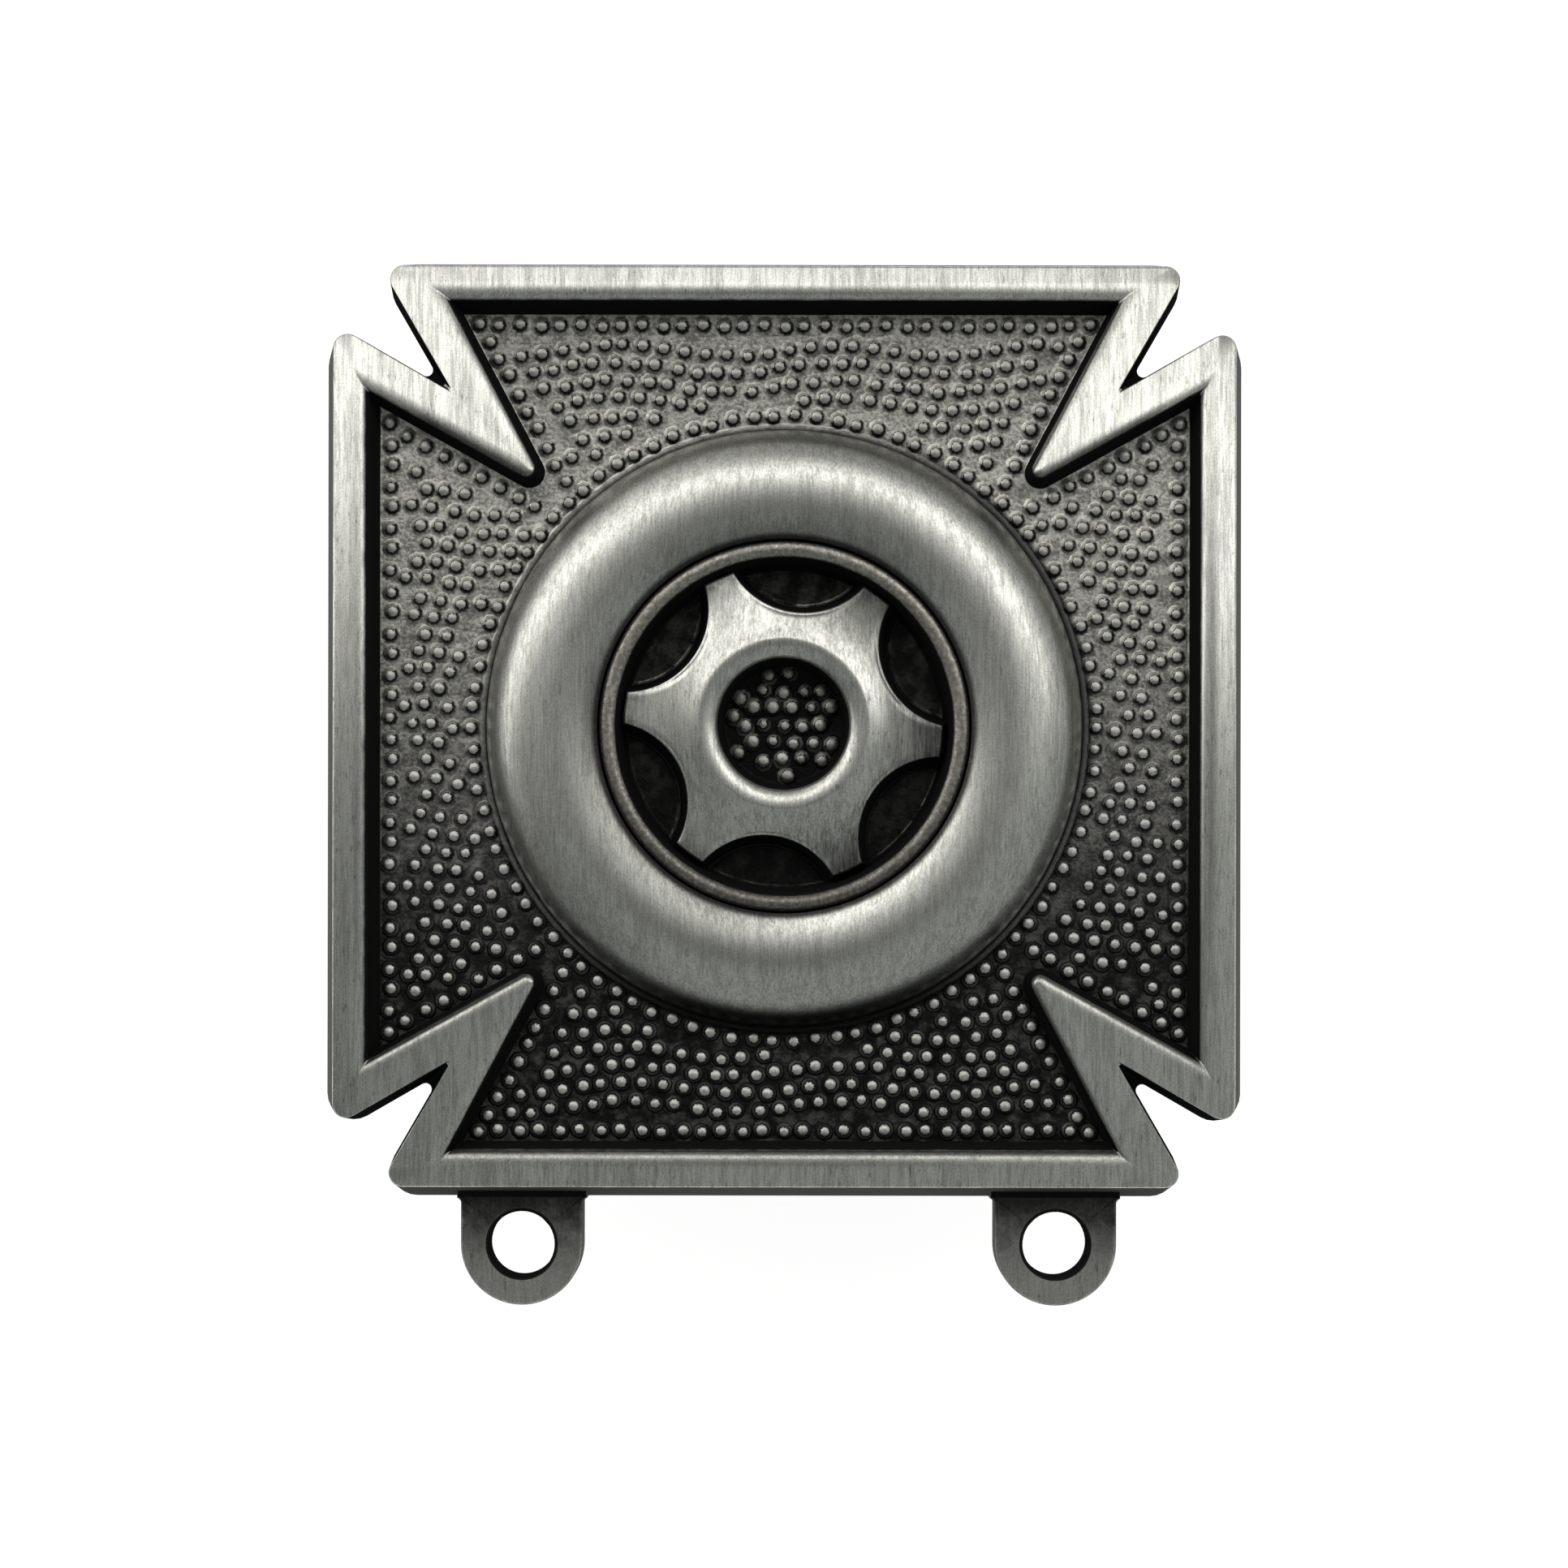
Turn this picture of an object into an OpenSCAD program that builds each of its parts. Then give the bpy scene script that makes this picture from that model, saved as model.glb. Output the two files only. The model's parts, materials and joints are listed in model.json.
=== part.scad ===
// A qualification badge: a die-struck cross with a raised rim, a stippled field and a disc wheel
// with its tyre at the centre, two eyelets below for hanging bars, and two posts behind, each
// held by a butterfly clutch. The badge lies face up, resting on its clutches.
// Units are millimetres. +Z leaves the face, +Y is up as worn. The origin is the middle of the
// flat back, on the wheel's axis, where the badge sits against the cloth.

/* [Cross] */
// Width of the cross at its back edge
cross_w = 25.4; // [22:0.1:30]
// Height of the cross at its back edge
cross_h = 25.9; // [22:0.1:30]
// Height of the rim's top above the back
rim_z = 2.1; // [1.8:0.05:2.6]
// Height of the stippled field above the back
field_z = 1.1; // [0.9:0.05:1.3]
// How far the side wall leans out between the rim's top edge and the back
side_lean = 0.4; // [0.1:0.02:0.5]
// Width of the rim's flat top along the outer edges
rim_w = 0.73; // [0.6:0.01:1]
// Distance of each corner notch from the upright middle line, at the rim's top
notch_x = 9.01; // [8.6:0.01:9.2]
// Distance of each corner notch from the level middle line, at the rim's top
notch_y = 9.05; // [8.6:0.01:9.2]
// Angle between a notch's side and the middle line of its arm
notch_angle = 30; // [28:0.5:32]
// Radius of the arms' corners at the back
corner_r = 0.74; // [0.5:0.02:0.9]

/* [Wheel] */
// Radius of the tyre's foot
tyre_r = 8.24; // [7.8:0.02:8.4]
// Height of the tyre's crown above the field
tyre_rise = 1.6; // [1.2:0.05:1.8]
// Radius of the circle along the tyre's crown
crown_r = 6.24; // [6:0.02:6.5]
// Inner radius of the tyre, where the bead of the rim starts
bead_r = 5.1; // [4.9:0.02:5.3]
// Radius of the well inside the bead
well_r = 4.58; // [4.4:0.02:4.7]
// Radius of the disc's points
disc_r = 4.36; // [4.2:0.02:4.38]
// Radius of the hub's hole
hub_r = 1.84; // [1.6:0.02:2]
// Number of hand holes between the disc's points
hand_holes = 6; // [4:1:8]
// Turn of the first hand hole from the right, in degrees
hand_turn = 24; // [0:1:59]

/* [Stipple] */
// Radius of a pebble, a small round peg
pebble_r = 0.2; // [0.16:0.01:0.24]
// Distance between neighbouring pebbles
pebble_pitch = 0.57; // [0.55:0.01:0.7]

/* [Eyelets] */
// Distance between the two eyelets' holes
eyelet_gap = 14.7; // [13:0.1:16]
// Width of an eyelet's tab
eyelet_w = 3.36; // [3:0.02:3.8]
// Thickness of an eyelet's tab
eyelet_t = 1.2; // [0.9:0.05:1.4]
// Radius of the eyelet's hole
eyelet_r = 0.9; // [0.7:0.02:1.1]
// Distance of the eyelets' holes below the wheel's axis
eyelet_drop = 14.22; // [14:0.02:15]
// How far the pair of eyelets was soldered to the right of the middle
eyelet_shift = 0.14; // [0:0.02:0.3]

/* [Clutches] */
// Distance between the two posts
post_gap = 12.6; // [12:0.1:13]
// Radius of a post
post_r = 0.55; // [0.45:0.05:0.7]
// Length of a post behind the back
post_len = 6.4; // [5.8:0.1:6.5]
// Radius of a clutch's plate
clutch_r = 5.4; // [5:0.1:5.6]
// Gap for cloth between the back and a clutch
cloth_gap = 2.4; // [1.5:0.1:3]

/* [Hidden] */
$fn = 96;
eps = 0.01;

// How the rim's outer edge falls from its flat top to the back: [how far out, height]
rim_round = 0.08;
outer_profile = [
    [side_lean - 0.06, 0],
    [side_lean, 0.1],
    [rim_round, rim_z - rim_round],
    [0.03, rim_z - 0.02],
    [0, rim_z]
];
// How the rim's inner edge rolls down to the field: [how far in, height]
inner_roll = 0.3;
field_draft = 0.42;
inner_profile = [
    [0, rim_z + 1],
    [0, rim_z],
    [0.15, rim_z - 0.04],
    [0.26, rim_z - 0.14],
    [inner_roll, rim_z - inner_roll],
    [field_draft, field_z]
];

// Half extents of the rim's top, and the same inside the rim
top_x = cross_w / 2 - side_lean;
top_y = cross_h / 2 - side_lean;
in_x = top_x - rim_w;
in_y = top_y - rim_w;
// Where the two rims of a notch join in a spike towards the wheel, and the field's corners
spike_at = 6.62;
spike_r = 0.17;
in_corner = 9.38;
// Corner radii of the rim's top, kept above zero so that every section has the same points
top_corner_r = corner_r - side_lean;
notch_r = 0.04;
web_r = 0.17;
sharp_r = 0.03;
arc_steps = 6;

// Geometry of loops
function unit(v) = v / norm(v);
function at(loop, i) = loop[(i + len(loop)) % len(loop)];
function outward(p, q) = let(d = unit(q - p)) [d.y, -d.x];
// A loop whose sides are moved outwards, each by its own value of a repeating list
function grown(loop, moves) = [
    for (i = [0:len(loop) - 1]) let(
        a = outward(at(loop, i - 1), loop[i]),
        b = outward(loop[i], at(loop, i + 1)),
        cosine = a * b,
        by_a = at(moves, i - 1),
        by_b = at(moves, i)
    ) loop[i] + (a * (by_a - cosine * by_b) + b * (by_b - cosine * by_a)) / (1 - cosine * cosine)
];
function short_turn(a) = a > 180 ? a - 360 : a < -180 ? a + 360 : a;
function arc_at(before, p, after, r) = let(
    u = unit(before - p),
    v = unit(after - p),
    half = acos(u * v) / 2,
    centre = p + unit(u + v) * r / sin(half),
    start = p + u * r / tan(half) - centre,
    stop = p + v * r / tan(half) - centre,
    from = atan2(start.y, start.x),
    step = short_turn(atan2(stop.y, stop.x) - from) / arc_steps
) [for (k = [0:arc_steps]) centre + r * [cos(from + step * k), sin(from + step * k)]];
function rounded(loop, radii) = [
    for (i = [0:len(loop) - 1]) each arc_at(at(loop, i - 1), loop[i], at(loop, i + 1), at(radii, i))
];

// One corner of the badge, counter-clockwise in the first quadrant, mirrored into the other three
function four_ways(quarter) = [
    each quarter,
    for (i = [2:-1:0]) [-quarter[i].x, quarter[i].y],
    for (i = [0:2]) -quarter[i],
    for (i = [2:-1:0]) [quarter[i].x, -quarter[i].y]
];
outer_loop = four_ways([
    [top_x, notch_y + (top_x - notch_x) * tan(notch_angle)],
    [notch_x, notch_y],
    [notch_x + (top_y - notch_y) * tan(notch_angle), top_y]
]);
inner_loop = four_ways([[in_x, in_corner], [spike_at, spike_at], [in_corner, in_y]]);

// A section of the outside, and one of the pocket inside the rim. A notch's two walls lean less
// than the badge's long sides, and so do the pocket's two walls beside a spike.
notch_lean = 0.45;
function outer_section(out) = let(share = out / side_lean) rounded(
    grown(outer_loop, out * [notch_lean, notch_lean, 1]),
    [top_corner_r + out, notch_r + (web_r - notch_r) * share, top_corner_r + out]
);
spike_lean = 0.62;
function pocket_loop(in) = grown(inner_loop, -in * [spike_lean, spike_lean, 1]);
function pocket_section(in) = rounded(pocket_loop(in), [sharp_r, spike_r + in * spike_lean, sharp_r]);

// A closed solid through sections, each a loop around the axis, from the lowest up
module loft(sections, heights) {
    n = len(sections[0]);
    m = len(sections);
    points = [
        for (k = [0:m - 1]) each [for (p = sections[k]) [p.x, p.y, heights[k]]],
        [0, 0, heights[0]],
        [0, 0, heights[m - 1]]
    ];
    walls = [
        for (k = [0:m - 2]) for (i = [0:n - 1]) let(
            a = k * n + i,
            b = k * n + (i + 1) % n
        ) each [[a, a + n, b + n], [a, b + n, b]]
    ];
    bottom = [for (i = [0:n - 1]) [m * n, i, (i + 1) % n]];
    top = [for (i = [0:n - 1]) [m * n + 1, (m - 1) * n + (i + 1) % n, (m - 1) * n + i]];
    polyhedron(points, concat(walls, bottom, top));
}

module cross_blank() {
    loft([for (row = outer_profile) outer_section(row[0])], [for (row = outer_profile) row[1]]);
}

module pocket() {
    rows = [for (i = [len(inner_profile) - 1:-1:0]) inner_profile[i]];
    loft([for (row = rows) pocket_section(row[0])], [for (row = rows) row[1]]);
}

// The wheel, in half sections turned about its axis. Its well is sunk into the plate, and the
// walls down to the well's floor lean outwards by wall_lean in all.
well_z = 0.95;
well_root = well_z - 0.15;
wall_lean = 0.2;
bead_z = 2.12;
tyre_half = tyre_r - crown_r;
module tyre() {
    rotate_extrude() intersection() {
        translate([crown_r, field_z]) scale([1, tyre_rise / tyre_half]) circle(tyre_half);
        translate([bead_r, well_root]) square([tyre_r, tyre_rise + 1]);
    }
}

bead_half = (bead_r - well_r) / 2;
module bead() {
    rotate_extrude() {
        translate([well_r + bead_half, bead_z]) circle(bead_half - eps);
        polygon([
            [well_r - wall_lean, well_root],
            [bead_r + eps, well_root],
            [bead_r + eps, bead_z],
            [well_r + eps, bead_z]
        ]);
    }
}

// The disc is a shallow dome that rolls over into the hub's hole
lip_r = 0.42;
lip_z = 2.3;
disc_edge_z = 1.82;
module disc_blank() {
    rotate_extrude() {
        translate([hub_r + lip_r, lip_z - lip_r]) circle(lip_r);
        polygon([
            [hub_r - wall_lean, well_root],
            [disc_r + wall_lean / 4, well_root],
            [disc_r, disc_edge_z],
            [hub_r + lip_r, lip_z],
            [hub_r + lip_r, lip_z - lip_r],
            [hub_r, lip_z - lip_r]
        ]);
    }
}

// Each hand hole is a round bite whose edge passes hand_deep at its middle
hand_deep = 3.05;
hand_at = 5.29;
module disc() {
    difference() {
        disc_blank();
        for (i = [0:hand_holes - 1])
            rotate(hand_turn + i * 360 / hand_holes)
                translate([hand_at, 0, well_z])
                    cylinder(
                        r1 = hand_at - hand_deep - wall_lean,
                        r2 = hand_at - hand_deep,
                        h = lip_z - well_z
                    );
    }
}

// Stipple: a row along the field's edge, a ring around the tyre, and staggered, slightly waved rows
// between that keep clear of both. Each pebble is shaken a little off its place.
edge_gap = 0.27;
ring_gap = 0.32;
pebble_clear = 0.45;
pebble_h = 0.18;
pebble_sink = 0.02;
shake_by = 0.2;
row_shake = 0.8;
wave = 0.16;
wave_turn = 60;
floor_loop = pocket_loop(field_draft);
floor_line = pocket_section(field_draft);
function to_side(p, a, b) = let(
    along = max(0, min(1, (p - a) * (b - a) / ((b - a) * (b - a))))
) norm(p - a - along * (b - a));
function from_wall(p) = min([
    for (i = [0:len(floor_line) - 1]) to_side(p, floor_line[i], at(floor_line, i + 1))
]);
function left_of(p, a, b) = (b.x - a.x) * (p.y - a.y) - (b.y - a.y) * (p.x - a.x) > 0;
function in_pocket(p) = let(
    q = [abs(p.x), abs(p.y)],
    side = floor_loop[0],
    spike = floor_loop[1],
    top = floor_loop[2]
) q.x < side.x && q.y < top.y && (!left_of(q, spike, side) || left_of(q, spike, top));
function clear_of(p, row) = min([for (q = row) norm(p - q)]) > pebble_clear;
function shake(i, j, k) = (((i * 73 + j * 151 + i * j * 37 + k * 59) % 101) / 101 - 0.5) * shake_by;

ring_row_r = tyre_r + ring_gap;
edge_loop = grown(floor_loop, [-edge_gap]);
edge_row = [
    for (i = [0:len(edge_loop) - 1]) each let(
        a = edge_loop[i],
        b = at(edge_loop, i + 1),
        n = round(norm(b - a) / pebble_pitch),
        inward = [a.y - b.y, b.x - a.x] / norm(b - a)
    ) [for (k = [0:n - 1]) let(
        along = k == 0 ? 0 : k + row_shake * shake(i + 3, k, 3),
        off = k == 0 ? 0 : row_shake * (shake(i + 3, k, 4) + shake_by / 2),
        p = a + (b - a) * along / n + inward * off * pebble_pitch
    ) if (norm(p) > ring_row_r + ring_gap) p]
];
ring_n = floor(360 / 2 / asin(pebble_pitch / 2 / ring_row_r));
ring_row = [
    for (k = [0:ring_n - 1]) let(
        turn = (k + row_shake * shake(k, 7, 6)) * 360 / ring_n,
        off = row_shake * (shake(k, 7, 5) + shake_by / 2),
        p = (ring_row_r + off * pebble_pitch) * [cos(turn), sin(turn)]
    ) if (in_pocket(p) && from_wall(p) > edge_gap && clear_of(p, edge_row)) p
];
row_step = pebble_pitch * 0.87;
rows_y = ceil(cross_h / 2 / row_step);
rows_x = ceil(cross_w / 2 / pebble_pitch);
field_rows = [
    for (j = [-rows_y:rows_y]) for (i = [-rows_x:rows_x]) let(
        x = (i + (abs(j) % 2) / 2 + shake(i + 40, j + 40, 1)) * pebble_pitch,
        y = (j + shake(i + 40, j + 40, 2)) * row_step,
        p = [x + wave * sin(wave_turn * y), y + wave * sin(wave_turn * x)]
    ) if (norm(p) > ring_row_r && in_pocket(p) && from_wall(p) > edge_gap
        && clear_of(p, concat(edge_row, ring_row))) p
];
hub_pitch = 0.54;
hub_row_step = 0.47;
hub_rows = [
    for (j = [-3:3]) for (i = [-3:3]) let(
        x = (i + (abs(j) % 2) / 2 + shake(i + 5, j + 5, 8)) * hub_pitch,
        p = [x, (j + shake(i + 5, j + 5, 9)) * hub_row_step]
    ) if (norm(p) < hub_r - wall_lean - 1.3 * pebble_r) p
];

module pebble() {
    translate([0, 0, -pebble_sink]) cylinder(r = pebble_r, h = pebble_h + pebble_sink, $fn = 16);
}

module stipple() {
    for (p = concat(edge_row, ring_row, field_rows)) translate([p.x, p.y, field_z]) pebble();
    for (p = hub_rows) translate([p.x, p.y, well_z]) pebble();
}

// A tab with a round end and a fillet on either side of its root, its hole eased at the front
eyelet_ease = 0.12;
root_r = 0.15;
root_y = eyelet_drop - cross_h / 2;
module eyelet() {
    translate([0, -eyelet_drop]) difference() {
        linear_extrude(eyelet_t) {
            circle(eyelet_w / 2);
            translate([-eyelet_w / 2, 0]) square([eyelet_w, root_y + 0.9]);
            difference() {
                translate([-eyelet_w / 2 - root_r, root_y - root_r])
                    square([eyelet_w + 2 * root_r, root_r + side_lean + 0.2]);
                for (s = [-1, 1]) translate([s * (eyelet_w / 2 + root_r), root_y - root_r]) circle(root_r);
            }
        }
        translate([0, 0, -1]) cylinder(r = eyelet_r, h = eyelet_t + 2);
        translate([0, 0, eyelet_t - eyelet_ease])
            cylinder(r1 = eyelet_r, r2 = eyelet_r + 2 * eyelet_ease, h = 2 * eyelet_ease);
    }
}

// A post with a pointed end, whose foot is soldered into a shallow round seat in the back
post_tip = 0.9;
foot_r = 1.5;
foot_t = 0.25;
seat_z = 0.3;
seat_gap = 0.02;
module post() {
    color("#8b8c86") {
        translate([0, 0, -post_len + post_tip]) cylinder(r = post_r, h = post_len - post_tip);
        translate([0, 0, -post_len]) cylinder(r1 = 0.12, r2 = post_r, h = post_tip);
        translate([0, 0, -foot_t]) cylinder(r1 = foot_r - 0.4, r2 = foot_r, h = foot_t);
        cylinder(r = foot_r, h = seat_z);
    }
}

module post_seat() {
    translate([0, 0, -1]) cylinder(r = foot_r + seat_gap, h = 1 + seat_z);
}

module post_left() {
    translate([-post_gap / 2, 0]) post();
}

module post_right() {
    translate([post_gap / 2, 0]) post();
}

module badge() {
    color("#8b8c86") {
        difference() {
            cross_blank();
            pocket();
            translate([0, 0, well_z]) cylinder(r = well_r, h = 3);
            for (s = [-1, 1]) translate([s * post_gap / 2, 0]) post_seat();
        }
        tyre();
        bead();
        disc();
        stipple();
        for (s = [-1, 1]) translate([eyelet_shift + s * eyelet_gap / 2, 0]) eyelet();
    }
}

// A butterfly clutch in one piece, from the cloth down: a dished plate with a rolled edge, a
// housing around the post, and two wings that lean away from the cloth
plate_t = 0.45;
dish = 0.3;
edge_roll = 0.4;
house_w = 5.2;
house_d = 4.6;
house_z = -4.2;
house_r = 1.1;
wing_w = 4.2;
hole_gap = 0.08;
module plate() {
    rotate_extrude() {
        translate([clutch_r - edge_roll, -edge_roll]) circle(edge_roll);
        polygon([
            [0, -dish - plate_t],
            [clutch_r - edge_roll - 0.9, -dish - plate_t],
            [clutch_r - edge_roll, -2 * edge_roll],
            [clutch_r - edge_roll, -edge_roll / 2],
            [clutch_r - edge_roll - 0.6, -dish],
            [0, -dish]
        ]);
    }
}

module housing() {
    translate([0, 0, house_z]) linear_extrude(-house_z - dish - eps) {
        square([house_w, house_d - 2 * house_r], center = true);
        square([house_w - 2 * house_r, house_d], center = true);
        for (x = [-1, 1]) for (y = [-1, 1])
            translate([x * (house_w / 2 - house_r), y * (house_d / 2 - house_r)]) circle(house_r);
    }
}

wing_t = 0.45;
wing_root = [1.6, -1.5];
wing_tip = [5.9, -2.5];
module wing() {
    translate([-wing_w / 2, 0]) rotate([90, 0, 90]) linear_extrude(wing_w) {
        translate(wing_tip) circle(wing_t / 2 + 0.1);
        polygon([
            wing_root,
            wing_tip + [0, wing_t / 2],
            wing_tip - [0, wing_t / 2],
            wing_root - [0, wing_t]
        ]);
    }
}

module clutch() {
    color("#b9b8b2") translate([0, 0, -cloth_gap]) difference() {
        union() {
            plate();
            housing();
            wing();
            rotate(180) wing();
        }
        translate([0, 0, house_z - 1]) cylinder(r = post_r + hole_gap, h = 1 - house_z);
    }
}

module clutch_left() {
    translate([-post_gap / 2, 0]) clutch();
}

module clutch_right() {
    translate([post_gap / 2, 0]) clutch();
}

badge();
post_left();
post_right();
clutch_left();
clutch_right();
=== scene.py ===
"""Looks of a qualification badge: a struck cross with a stippled field and a disc wheel, in antique silver.

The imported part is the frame. One piece, struck_badge, stands for its node badge. It follows the same sizes
and adds what striking and brushing leave: rolled edges, fillets at the feet of the walls and round-capped
pegs. The posts and the clutches are the part's own nodes with a finish. Sizes are in millimetres until a
mesh is made.
"""

import json
import logging
import math
from collections.abc import Sequence
from dataclasses import dataclass, field
from enum import Enum

import bpy
import numpy as np
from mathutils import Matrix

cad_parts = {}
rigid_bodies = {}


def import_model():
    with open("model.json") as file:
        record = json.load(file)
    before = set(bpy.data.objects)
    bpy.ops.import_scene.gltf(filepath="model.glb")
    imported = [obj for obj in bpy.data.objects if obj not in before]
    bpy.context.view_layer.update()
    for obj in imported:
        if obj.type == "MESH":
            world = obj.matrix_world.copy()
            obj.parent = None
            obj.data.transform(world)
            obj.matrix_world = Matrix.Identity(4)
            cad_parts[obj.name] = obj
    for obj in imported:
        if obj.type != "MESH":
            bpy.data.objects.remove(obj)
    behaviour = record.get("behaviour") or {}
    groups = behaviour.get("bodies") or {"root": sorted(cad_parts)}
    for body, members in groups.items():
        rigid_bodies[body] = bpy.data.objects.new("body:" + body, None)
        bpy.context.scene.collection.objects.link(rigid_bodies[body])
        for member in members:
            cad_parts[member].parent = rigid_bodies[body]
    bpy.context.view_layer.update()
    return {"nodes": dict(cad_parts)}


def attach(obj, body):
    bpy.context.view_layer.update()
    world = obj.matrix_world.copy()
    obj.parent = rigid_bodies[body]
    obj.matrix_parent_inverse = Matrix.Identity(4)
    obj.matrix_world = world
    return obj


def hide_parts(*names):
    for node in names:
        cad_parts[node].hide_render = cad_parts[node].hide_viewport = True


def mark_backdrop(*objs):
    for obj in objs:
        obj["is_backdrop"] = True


log = logging.getLogger("badge")

MM = 0.001
TURN = 2 * math.pi
PHOTO_PIXELS = 1932
BODY = "root"

Colour = tuple[float, float, float]
Border = tuple[float, float, float]
Socket = bpy.types.NodeSocket

WARM: Colour = (1.0, 0.99, 0.95)


class Join(Enum):
    """How one closed mesh is combined with another."""

    ADD = "UNION"
    CUT = "DIFFERENCE"


# Loops in the plane of the badge


def grown(loop: np.ndarray, moves: Sequence[float]) -> np.ndarray:
    """Moves each side of a counter-clockwise loop outwards.

    Args:
        loop: The corners, one row each.
        moves: How far each side goes, repeated as often as needed.

    Returns:
        The corners of the new loop.
    """
    sides = np.roll(loop, -1, axis=0) - loop
    sides /= np.linalg.norm(sides, axis=1)[:, None]
    after = np.stack([sides[:, 1], -sides[:, 0]], axis=1)
    before = np.roll(after, 1, axis=0)
    by_after = np.resize(np.asarray(moves, float), len(loop))
    by_before = np.roll(by_after, 1)
    cosine = (before * after).sum(axis=1)
    push_before = before * (by_before - cosine * by_after)[:, None]
    push_after = after * (by_after - cosine * by_before)[:, None]
    return loop + (push_before + push_after) / (1 - cosine**2)[:, None]


def rounded(loop: np.ndarray, radii: Sequence[float], steps: int) -> np.ndarray:
    """Replaces each corner of a loop by an arc.

    Args:
        loop: The corners.
        radii: The arcs' radii, repeated as often as needed.
        steps: Segments in each arc.

    Returns:
        The points of the rounded loop.
    """
    points = []
    for i, corner in enumerate(loop):
        u = loop[i - 1] - corner
        v = loop[(i + 1) % len(loop)] - corner
        u, v = u / np.linalg.norm(u), v / np.linalg.norm(v)
        half = math.acos(float(np.clip(u @ v, -1, 1))) / 2
        r = radii[i % len(radii)]
        middle = (u + v) / np.linalg.norm(u + v)
        centre = corner + middle * r / math.sin(half)
        start = corner + u * r / math.tan(half) - centre
        stop = corner + v * r / math.tan(half) - centre
        first = math.atan2(start[1], start[0])
        turn = (math.atan2(stop[1], stop[0]) - first + math.pi) % TURN - math.pi
        angles = first + turn * np.arange(steps + 1) / steps
        points.append(centre + r * np.stack([np.cos(angles), np.sin(angles)], axis=1))
    return np.concatenate(points)


def four_ways(quarter: Sequence[tuple[float, float]]) -> np.ndarray:
    """Mirrors the corners of the first quadrant into the other three, counter-clockwise all round."""
    q = np.array(quarter, float)
    return np.concatenate([q, q[::-1] * [-1, 1], -q, q[::-1] * [1, -1]])


def circle(radius: float, count: int) -> np.ndarray:
    """Points of a circle about the origin, counter-clockwise."""
    a = TURN * np.arange(count) / count
    return radius * np.stack([np.cos(a), np.sin(a)], axis=1)


def quarter_arc(steps: int) -> list[tuple[float, float]]:
    """Sines and cosines of equal steps from 0 to 90 degrees, both ends in."""
    return [(math.sin(a), math.cos(a)) for a in np.linspace(0, math.pi / 2, steps + 1)]


# Meshes


@dataclass
class Shell:
    """A closed shell through rows of points, each a loop, from the outer foot over the top."""

    rows: list[np.ndarray] = field(default_factory=list)

    def add(self, loop: np.ndarray, height: float | np.ndarray) -> None:
        """Adds a row: a loop in the plane at one height, or at a height for each point."""
        self.rows.append(np.column_stack([loop, np.broadcast_to(height, len(loop))]))

    def object(self, name: str, ring: bool, shift: tuple[float, float] = (0, 0)) -> bpy.types.Object:
        """Makes the mesh and its object.

        Args:
            name: Name of both.
            ring: True if the last row runs on into the first, false if two flat caps close the shell.
            shift: How far the shell is moved in the plane.

        Returns:
            The object, at the origin, with its place in its mesh.
        """
        n, m = len(self.rows[0]), len(self.rows)
        points = (np.concatenate(self.rows) + [*shift, 0]) * MM
        i = np.arange(n)
        j = (i + 1) % n
        faces = []
        for k in range(m if ring else m - 1):
            a, b = k * n, (k + 1) % m * n
            faces += np.stack([a + i, a + j, b + j, b + i], axis=1).tolist()
        if not ring:
            faces += [i[::-1].tolist(), ((m - 1) * n + i).tolist()]
        mesh = bpy.data.meshes.new(name)
        mesh.from_pydata(points.tolist(), [], faces)
        return linked(name, mesh)


def linked(name: str, mesh: bpy.types.Mesh) -> bpy.types.Object:
    """Puts a mesh into the scene as an object.

    Args:
        name: Name of the object.
        mesh: Its mesh.

    Returns:
        The object.
    """
    obj = bpy.data.objects.new(name, mesh)
    bpy.context.scene.collection.objects.link(obj)
    return obj


def plain(obj: bpy.types.Object) -> bpy.types.Object:
    """Turns an object with modifiers into one whose mesh is their result, and removes the modifiers.

    Args:
        obj: The object.

    Returns:
        The same object.
    """
    depsgraph = bpy.context.evaluated_depsgraph_get()
    mesh = bpy.data.meshes.new_from_object(obj.evaluated_get(depsgraph))
    obj.modifiers.clear()
    old, obj.data = obj.data, mesh
    bpy.data.meshes.remove(old)
    return obj


def combined(base: bpy.types.Object, other: bpy.types.Object, how: Join) -> bpy.types.Object:
    """Joins or cuts base with other, which is used up.

    Args:
        base: The closed mesh that is kept.
        other: The closed mesh that is added or cut out.
        how: Which of the two.

    Returns:
        The base object with its new mesh.
    """
    step = base.modifiers.new("combine", "BOOLEAN")
    step.operation, step.object = how.value, other
    step.solver = "MANIFOLD"
    plain(base)
    used = other.data
    bpy.data.objects.remove(other)
    bpy.data.meshes.remove(used)
    return base


# Node trees


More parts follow.
